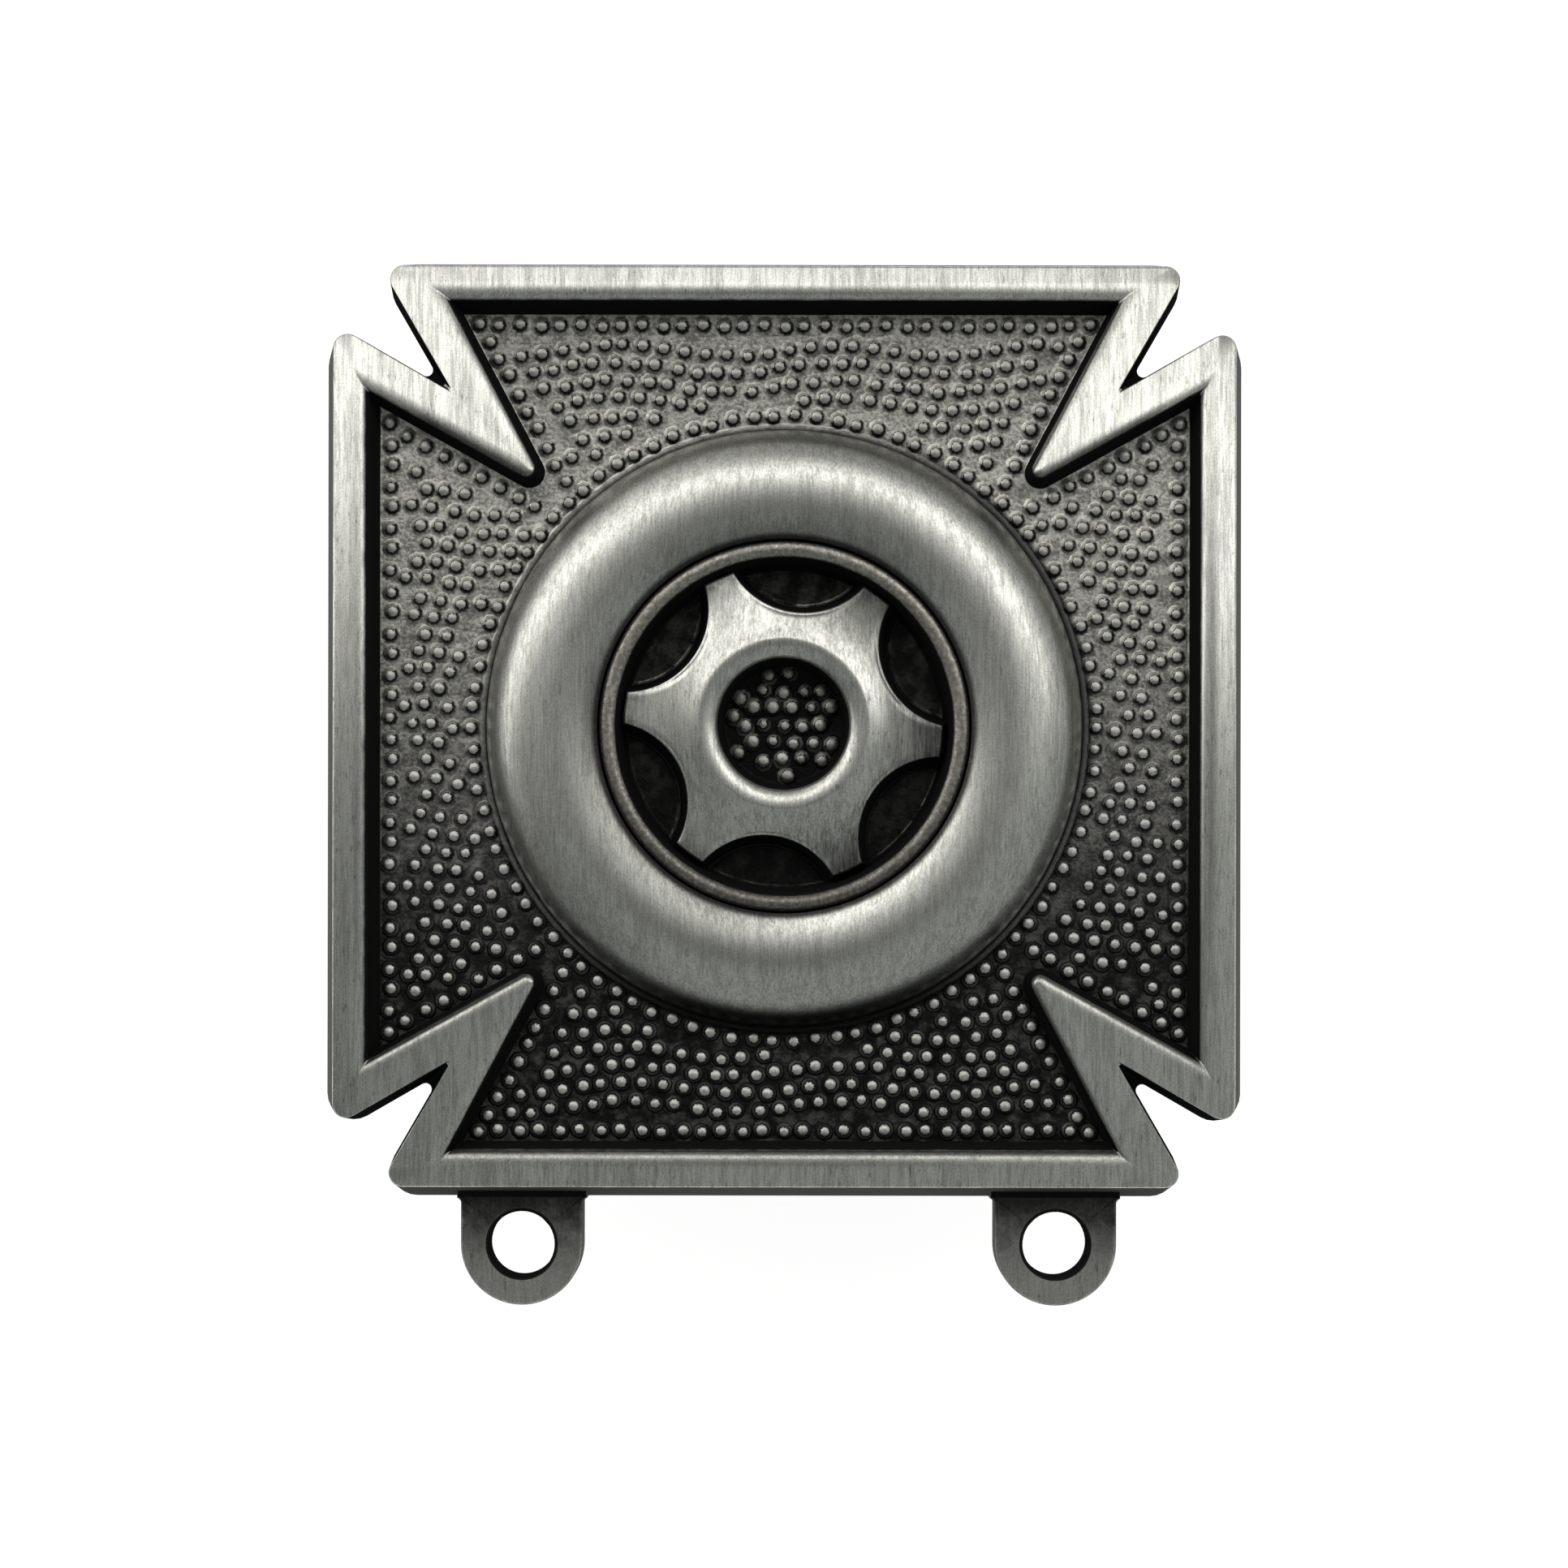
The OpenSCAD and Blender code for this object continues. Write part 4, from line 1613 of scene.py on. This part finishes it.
    def high_places(
        self, nodes: Shades, at: Regions, marks: bpy.types.Node, patches: bpy.types.Node
    ) -> Socket:
        """Bright metal with brush marks, what is left of the blackening, and painted shade.

        Args:
            nodes: The material's nodes.
            at: The masks.
            marks: The brush group's node.
            patches: The mottle group's node.

        Returns:
            The colour.
        """
        streaks, deep = marks.outputs["Streaks"], marks.outputs["Deep"]
        cloud, grain, grit = (patches.outputs[key] for key in ("Cloud", "Grain", "Grit"))
        silver = nodes.mix(nodes.rise(streaks, 0.38, 0.6), self.dull, self.bright)
        scars = nodes.blend(at.on_tyre, self.patina_and_shade.scars, self.patina_and_shade.tyre_scars)
        silver = self.blacked_over(nodes, silver, deep, nodes.rise(cloud, 0.4, 0.62), scars)
        silver = self.blacked_over(nodes, silver, nodes.rise(grit, 0.6, 0.35, 0.0, self.patina_and_shade.pits))
        silver = nodes.mix(at.on_peg, silver, self.peg_colour(nodes, at, grain))
        tarnished = nodes.product(at.on_bead, nodes.rise(grain, 0.36, 0.6, 0.4, 0.95))
        silver = nodes.mix(tarnished, silver, self.brown)
        return self.patina_and_painted_shade(nodes, at, silver, cloud, streaks)

    def patina_and_painted_shade(
        self, nodes: Shades, at: Regions, silver: Socket, cloud: Socket, streaks: Socket
    ) -> Socket:
        """What the brush missed on high places, in grooves and feet, and painted shade on sides that face
        away from the light.

        Args:
            nodes: The material's nodes.
            at: The masks.
            silver: The colour so far.
            cloud: The mottle group's clouds.
            streaks: The brush group's streaks.

        Returns:
            The colour with black over it.
        """
        x, y, patina_and_shade = at.x, at.y, self.patina_and_shade
        lower_left = nodes.calc("MULTIPLY_ADD", x, -0.87, nodes.product(y, -0.5))
        upper_right = nodes.calc("ADD", x, y)
        lower_right = nodes.calc("SUBTRACT", x, y)
        streaky = nodes.rise(streaks, 0.7, 0.36)
        places = (
            (at.groove, patina_and_shade.groove),
            # Painted shade on the upper part of the tyre's inner flank, which faces away from the light
            (at.inner_flank, nodes.rise(y, 2.5, 5.0), patina_and_shade.inner_flank_above_shade),
            # The inner flank is darker on the lower left
            (at.inner_flank, nodes.rise(lower_left, 1.5, 4.6), patina_and_shade.inner_flank_left),
            # Painted shade on the tyre's outer flank below and on the upper right
            (at.outer_flank, nodes.rise(y, -5.0, -8.0), patina_and_shade.outer_flank_below_shade),
            (at.outer_flank, nodes.rise(upper_right, 5.0, 10.5), patina_and_shade.outer_flank_right_shade),
            # Painted shade on the disc, broken into brush streaks towards the lower right, and painted shade
            # on its right half and its right-hand tips
            (at.on_disc, nodes.rise(lower_right, 1.0, 5.5), streaky, patina_and_shade.disc_streaks_shade),
            (at.on_disc, nodes.rise(x, -0.8, 1.6), nodes.rise(y, -1.5, 0.5), patina_and_shade.disc_right_shade),
            (at.on_disc, nodes.rise(x, 0.5, 2.0), at.disc_tips, patina_and_shade.disc_right_tips_shade),
            (at.on_disc, at.disc_edge, nodes.rise(cloud, 0.35, 0.6), patina_and_shade.disc_edge),
            # Painted shade on the bead's lower part
            (at.on_bead, nodes.rise(y, 1.0, -4.0), patina_and_shade.bead_below_shade),
            # Painted shade on the spikes' sides that face down
            (at.inner_spikes, at.on_rim, nodes.rise(at.facing_y, -0.1, -0.5), patina_and_shade.spike_sides_shade),
            # Painted shade on the rolled edges that face up, which dims their highlight
            (at.on_wall, nodes.rise(at.facing_y, 0.2, 0.5), patina_and_shade.rolled_edges_shade),
        )
        for place in places:
            silver = self.blacked_over(nodes, silver, *place)
        return silver

    def floors(self, nodes: Shades, at: Regions, patches: bpy.types.Node) -> Socket:
        """The matt ground, light and mottled above, with painted highlights on slopes towards the light,
        painted shade below, black patina with painted glints in the well, and a painted shadow along the
        tyre's foot.

        Args:
            nodes: The material's nodes.
            at: The masks.
            patches: The mottle group's node.

        Returns:
            The colour.
        """
        cloud, grain, patina_and_shade = patches.outputs["Cloud"], patches.outputs["Grain"], self.patina_and_shade
        mottled = nodes.calc("ADD", nodes.product(grain, 0.6), nodes.product(cloud, 0.4))
        floor = nodes.mix(nodes.rise(mottled, 0.4, 0.58), self.smoke_and_shade, self.ground)
        # The slopes round the pegs that face the light get a bright colour: painted highlights
        floor = nodes.mix(nodes.product(at.lit_side, nodes.rise(at.up, 0.97, 0.88)), floor, self.cap_and_highlight)
        # Painted shade darkens the ground towards the bottom, broken up by the clouds; the ground is also
        # darker towards the top
        below = nodes.rise(at.y, 8.5, -7.5)
        floor = self.blacked_over(nodes, floor, below, nodes.rise(cloud, 0.42, 0.68, *patina_and_shade.field_below_shade))
        floor = self.blacked_over(nodes, floor, nodes.rise(at.y, 6.0, 11.5, 0.0, patina_and_shade.field_above))

        # The hollow at the foot of each peg is painted quite black in the lower field: painted shade
        floor = self.blacked_over(nodes, floor, nodes.rise(at.up, 0.998, 0.96), nodes.rise(at.y, -2.0, -7.0))

        # The well is black with patina, but for painted glints on some spots of the fillets that face the
        # light
        facing_light = nodes.rise(at.toward_light, 0.1, 0.4)
        painted_glints = nodes.product(facing_light, nodes.rise(cloud, 0.42, 0.56), patina_and_shade.well_painted_glints)
        without_glints = nodes.calc("MAXIMUM", nodes.rise(at.up, 0.9, 0.985), nodes.calc("SUBTRACT", 1.0, painted_glints))
        well = nodes.product(at.in_well, without_glints, nodes.rise(cloud, 0.4, 0.65, *patina_and_shade.well))
        floor = self.blacked_over(nodes, floor, nodes.calc("MAXIMUM", well, at.in_hub))

        # A painted shadow lies along the tyre's foot on the right and below
        shaded = nodes.rise(nodes.calc("MULTIPLY_ADD", at.x, -0.8, nodes.product(at.y, 0.6)), 5.0, -1.0)
        return self.blacked_over(nodes, floor, at.tyre_foot_shadow, shaded, patina_and_shade.tyre_foot_shadow)

    def tabs(self, nodes: Shades, at: Regions, silver: Socket, patches: bpy.types.Node) -> Socket:
        """The eyelets: brushed, with painted shade that darkens them towards their root and a painted shadow
        of the rim at the root.

        Args:
            nodes: The material's nodes.
            at: The masks.
            silver: The colour so far.
            patches: The mottle group's node.

        Returns:
            The colour with the eyelets' black over it.
        """
        # Painted shade, mottled by the clouds and the grain, grows towards the root
        shade_to_root = nodes.calc("MULTIPLY_ADD", at.y, -1.0, -15.1)
        shade_to_root = nodes.calc("MULTIPLY_ADD", patches.outputs["Cloud"], 1.6, shade_to_root)
        shade_to_root = nodes.calc("MULTIPLY_ADD", patches.outputs["Grain"], 0.9, shade_to_root)
        tab_shade = nodes.rise(shade_to_root, 1.6, -1.0, 0.0, self.patina_and_shade.tab_shade)
        # A painted shadow of the rim lies across the root
        root = nodes.rise(at.y, -13.15, -12.9, 0.0, self.patina_and_shade.tab_root_shadow)
        return self.blacked_over(nodes, silver, at.eyelet, nodes.calc("MAXIMUM", tab_shade, root))

    def walls(self, nodes: Shades, at: Regions) -> Socket:
        """Steep sides, still black but for the outermost, which cloth has rubbed grey, and which are a
        darker grey where they face up or down: painted shade.

        Args:
            nodes: The material's nodes.
            at: The masks.

        Returns:
            The colour.
        """
        # Outer walls that face up or down get a darker grey: painted shade
        above_or_below = nodes.rise(nodes.calc("ABSOLUTE", at.facing_y), 0.5, 0.9)
        side = nodes.mix(above_or_below, self.side, self.shaded_side)
        return self.blacked_over(nodes, side, nodes.calc("MAXIMUM", at.inside, at.hole))

    def relief(self, nodes: Shades, at: Regions, streaks: Socket, grain: Socket) -> Socket:
        """The normal: fine marks, and the crown that wear gave the rim, whose flats lean outwards.

        Args:
            nodes: The material's nodes.
            at: The masks.
            streaks: The brush group's streaks.
            grain: The mottle group's grain.

        Returns:
            The normal.
        """
        height = nodes.calc("MULTIPLY", streaks, nodes.calc("MULTIPLY_ADD", at.low, -0.8, 1.0))
        coarse = nodes.calc("MULTIPLY_ADD", nodes.calc("MAXIMUM", at.low, at.on_peg), 3.5, 0.25)
        height = nodes.calc("MULTIPLY_ADD", grain, coarse, height)
        lean = nodes.vector("MULTIPLY", nodes.joined(at.x, at.y, 0.0), (*self.crown, 0.0))
        turn = nodes.node(
            "ShaderNodeVectorTransform", vector_type="VECTOR", convert_from="OBJECT", convert_to="WORLD"
        )
        nodes.feed(turn.inputs[0], nodes.scaled(lean, at.on_rim))
        facing = nodes.vector("ADD", nodes.node("ShaderNodeNewGeometry").outputs["Normal"], turn.outputs[0])
        return nodes.bump(height, self.mark_depth * MM, nodes.vector("NORMALIZE", facing))

    def material(
        self, badge: StruckBadge, brush: bpy.types.NodeTree, mottle: bpy.types.NodeTree
    ) -> bpy.types.Material:
        """Makes the material.

        Args:
            badge: The piece, whose sizes the masks follow.
            brush: The group of brush marks.
            mottle: The group of cloudy patches.

        Returns:
            The material, which reads the place and the facing of each point on the piece.
        """
        made, nodes, skin = new_material("antique_silver")
        at = Regions(nodes, badge)
        marks = nodes.group(brush, Place=at.place, Fine=self.mark_fine, Length=self.mark_length)
        patches = nodes.group(mottle, Place=at.place, Patches=self.mottle_patches)
        streaks = marks.outputs["Streaks"]

        swept_and_lit = self.swept_and_lit(nodes, at, patches)
        silver = self.high_places(nodes, at, marks, patches)
        silver = nodes.mix(at.low, silver, self.floors(nodes, at, patches))
        silver = self.tabs(nodes, at, silver, patches)
        nodes.feed(skin.inputs["Base Color"], nodes.mix(swept_and_lit, self.walls(nodes, at), silver))
        nodes.feed(skin.inputs["Metallic"], swept_and_lit)
        level_ground = nodes.product(at.low, nodes.rise(at.up, 0.88, 0.97))
        matt = nodes.calc("MAXIMUM", nodes.calc("MAXIMUM", level_ground, at.on_peg), at.on_bead)
        rough = nodes.calc("MULTIPLY_ADD", matt, self.matt, nodes.rise(streaks, 0.3, 0.7, *self.rough))
        nodes.feed(skin.inputs["Roughness"], rough)
        skin.inputs["Specular IOR Level"].default_value = 0.0
        nodes.feed(skin.inputs["Normal"], self.relief(nodes, at, streaks, patches.outputs["Grain"]))
        return made


@dataclass(frozen=True)
class ClutchMetal:
    """Satin nickel plate on pressed sheet, slightly worn."""

    bright: Colour = (0.66, 0.65, 0.61)
    dull: Colour = (0.46, 0.45, 0.42)
    rough: tuple[float, float] = (0.38, 0.24)
    mark_depth: float = 0.004
    mark_fine: float = 6.0
    mark_length: float = 3.0
    mottle_patches: float = 1.5

    def material(self, brush: bpy.types.NodeTree, mottle: bpy.types.NodeTree) -> bpy.types.Material:
        """Makes the material from the same two groups as the silver.

        Args:
            brush: The group of brush marks.
            mottle: The group of cloudy patches.

        Returns:
            The material.
        """
        made, nodes, skin = new_material("clutch_metal")
        place = nodes.scaled(nodes.node("ShaderNodeTexCoord").outputs["Object"], 1 / MM)
        marks = nodes.group(brush, Place=place, Fine=self.mark_fine, Length=self.mark_length)
        patches = nodes.group(mottle, Place=place, Patches=self.mottle_patches)
        colour = nodes.mix(nodes.rise(patches.outputs["Cloud"], 0.3, 0.7), self.dull, self.bright)
        nodes.feed(skin.inputs["Base Color"], colour)
        skin.inputs["Metallic"].default_value = 1.0
        streaks = marks.outputs["Streaks"]
        nodes.feed(skin.inputs["Roughness"], nodes.rise(streaks, 0.3, 0.7, *self.rough))
        nodes.feed(skin.inputs["Normal"], nodes.bump(streaks, self.mark_depth * MM))
        return made


# Studio


@dataclass(frozen=True)
class Patch:
    """A soft bright patch of the studio's ceiling, by degrees from straight above along X and along Y."""

    across: tuple[float, float]
    along: tuple[float, float]
    soft: float
    glow: float
    colour: Colour


@dataclass(frozen=True)
class Ceiling:
    """The light of the studio as a sky: dim walls, a dark middle, and soft bright patches."""

    dark: float = 0.045
    dim: float = 0.23
    left_share: float = 0.5
    dark_reach: tuple[float, float] = (6.0, 28.0)
    low_tint: Colour = (1.14, 1.19, 1.15)
    high_tint: Colour = (1.0, 1.0, 0.98)
    patches: tuple[Patch, ...] = (
        # A faint glow over all of the upper right
        Patch((-34, 80), (6, 54), 11, 0.25, (0.98, 1.0, 0.99)),
        # The main light, a wide band above the badge
        Patch((-64, 50), (29, 50), 10, 1.45, WARM),
        # A smaller one to the right, which lights the tyre's right side
        Patch((28, 58), (14, 34), 8, 1.5, WARM),
        # Two to the upper left, for slopes that lean that way by a little and by more
        Patch((-74, -44), (15, 38), 8, 0.95, WARM),
        Patch((-78, -36), (36, 74), 9, 0.75, WARM),
        # A low one on the left, for steep walls and the sides of the pegs
        Patch((-100, -66), (-25, 70), 9, 0.85, (1.0, 1.0, 0.98)),
    )

    def build(self) -> bpy.types.World:
        """Makes the world, which the camera itself sees as plain white.

        Returns:
            The world.
        """
        world = bpy.data.worlds.new("studio")
        world.use_nodes = True
        nodes = Shades(world.node_tree)
        back = world.node_tree.nodes["Background"]
        x, y, z = nodes.split(nodes.node("ShaderNodeTexCoord").outputs["Generated"])
        across, along = (nodes.calc("DEGREES", nodes.calc("ARCTAN2", part, z)) for part in (x, y))
        tilt = nodes.calc("DEGREES", nodes.calc("ARCCOSINE", z))
        walls = nodes.rise(tilt, *self.dark_reach, self.dark, self.dim)

        # The wall on the left gives less light
        walls = nodes.product(walls, nodes.rise(x, -0.75, -0.25, self.left_share, 1.0))
        light = nodes.scaled(nodes.mix(nodes.rise(y, -0.1, 0.3), self.low_tint, self.high_tint), walls)
        for patch in self.patches:
            share = nodes.product(
                nodes.rise(across, patch.across[0] - patch.soft, patch.across[0] + patch.soft),
                nodes.rise(across, patch.across[1] + patch.soft, patch.across[1] - patch.soft),
                nodes.rise(along, patch.along[0] - patch.soft, patch.along[0] + patch.soft),
                nodes.rise(along, patch.along[1] + patch.soft, patch.along[1] - patch.soft),
                patch.glow,
            )
            light = nodes.vector("ADD", light, nodes.scaled(nodes.joined(*patch.colour), share))
        seen = nodes.node("ShaderNodeLightPath").outputs["Is Camera Ray"]
        nodes.feed(back.inputs["Color"], nodes.mix(seen, light, (1.0, 1.0, 1.0)))
        return world


@dataclass(frozen=True)
class Studio:
    """The pale floor, the soft light and the camera straight above."""

    # The floor, which glows a little so that it looks as pale as in the photograph
    floor_z: float = -6.6
    floor_half: float = 1.5
    floor_grey: float = 0.6
    floor_rough: float = 0.9
    floor_glow: float = 0.85

    # The camera, whose axis meets the photograph at a row of pixels below its middle
    camera_y: float = -5.65
    camera_z: float = 110.0
    focal_pixels: float = 4866.0
    axis_pixel_y: float = 1150.0
    roll: float = math.radians(0.1)
    sensor: float = 36.0
    sees: tuple[float, float] = (0.005, 10.0)

    ceiling: Ceiling = Ceiling()

    def floor(self) -> bpy.types.Object:
        """A pale floor that the clutches stand on.

        Returns:
            Nothing: the floor is made and marked as a backdrop.
        """
        h, z = self.floor_half, self.floor_z * MM
        mesh = bpy.data.meshes.new("floor")
        mesh.from_pydata([(-h, -h, z), (h, -h, z), (h, h, z), (-h, h, z)], [], [(0, 1, 2, 3)])
        finish, _, skin = new_material("pale_floor")
        skin.inputs["Base Color"].default_value = (self.floor_grey, self.floor_grey, self.floor_grey, 1)
        skin.inputs["Roughness"].default_value = self.floor_rough
        skin.inputs["Emission Color"].default_value = (1, 1, 1, 1)
        skin.inputs["Emission Strength"].default_value = self.floor_glow
        mesh.materials.append(finish)
        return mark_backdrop(linked("floor", mesh))

    def camera(self) -> bpy.types.Object:
        """The camera, with the photograph's place, focal length and framing.

        Returns:
            The camera.
        """
        lens = bpy.data.cameras.new("camera")
        lens.sensor_width = self.sensor
        lens.lens = self.focal_pixels / PHOTO_PIXELS * lens.sensor_width
        lens.shift_y = (self.axis_pixel_y - PHOTO_PIXELS / 2) / PHOTO_PIXELS
        lens.clip_start, lens.clip_end = self.sees
        obj = bpy.data.objects.new("camera", lens)
        bpy.context.scene.collection.objects.link(obj)
        obj.location = (0, self.camera_y * MM, self.camera_z * MM)
        obj.rotation_euler = (0, 0, self.roll)
        bpy.context.scene.camera = obj
        return obj

    def build(self) -> None:
        """Sets up the floor, the light and the camera."""
        scene = bpy.context.scene
        scene.view_settings.view_transform = "Standard"
        scene.world = self.ceiling.build()
        self.floor()
        self.camera()


def main() -> None:
    """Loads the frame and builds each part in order."""
    logging.basicConfig(level=logging.INFO, format="%(name)s: %(message)s")
    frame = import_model()
    Studio().build()
    brush, mottle = brush_group(), mottle_group()
    badge = StruckBadge()
    silver = AntiqueSilver().material(badge, brush, mottle)
    nickel = ClutchMetal().material(brush, mottle)
    badge.object(silver)
    for name, node in frame["nodes"].items():
        finish = nickel if name.startswith("clutch") else silver
        for slot in node.material_slots:
            slot.material = finish
        log.info("%s: dressed in %s", name, finish.name)


if __name__ == "__main__":
    main()
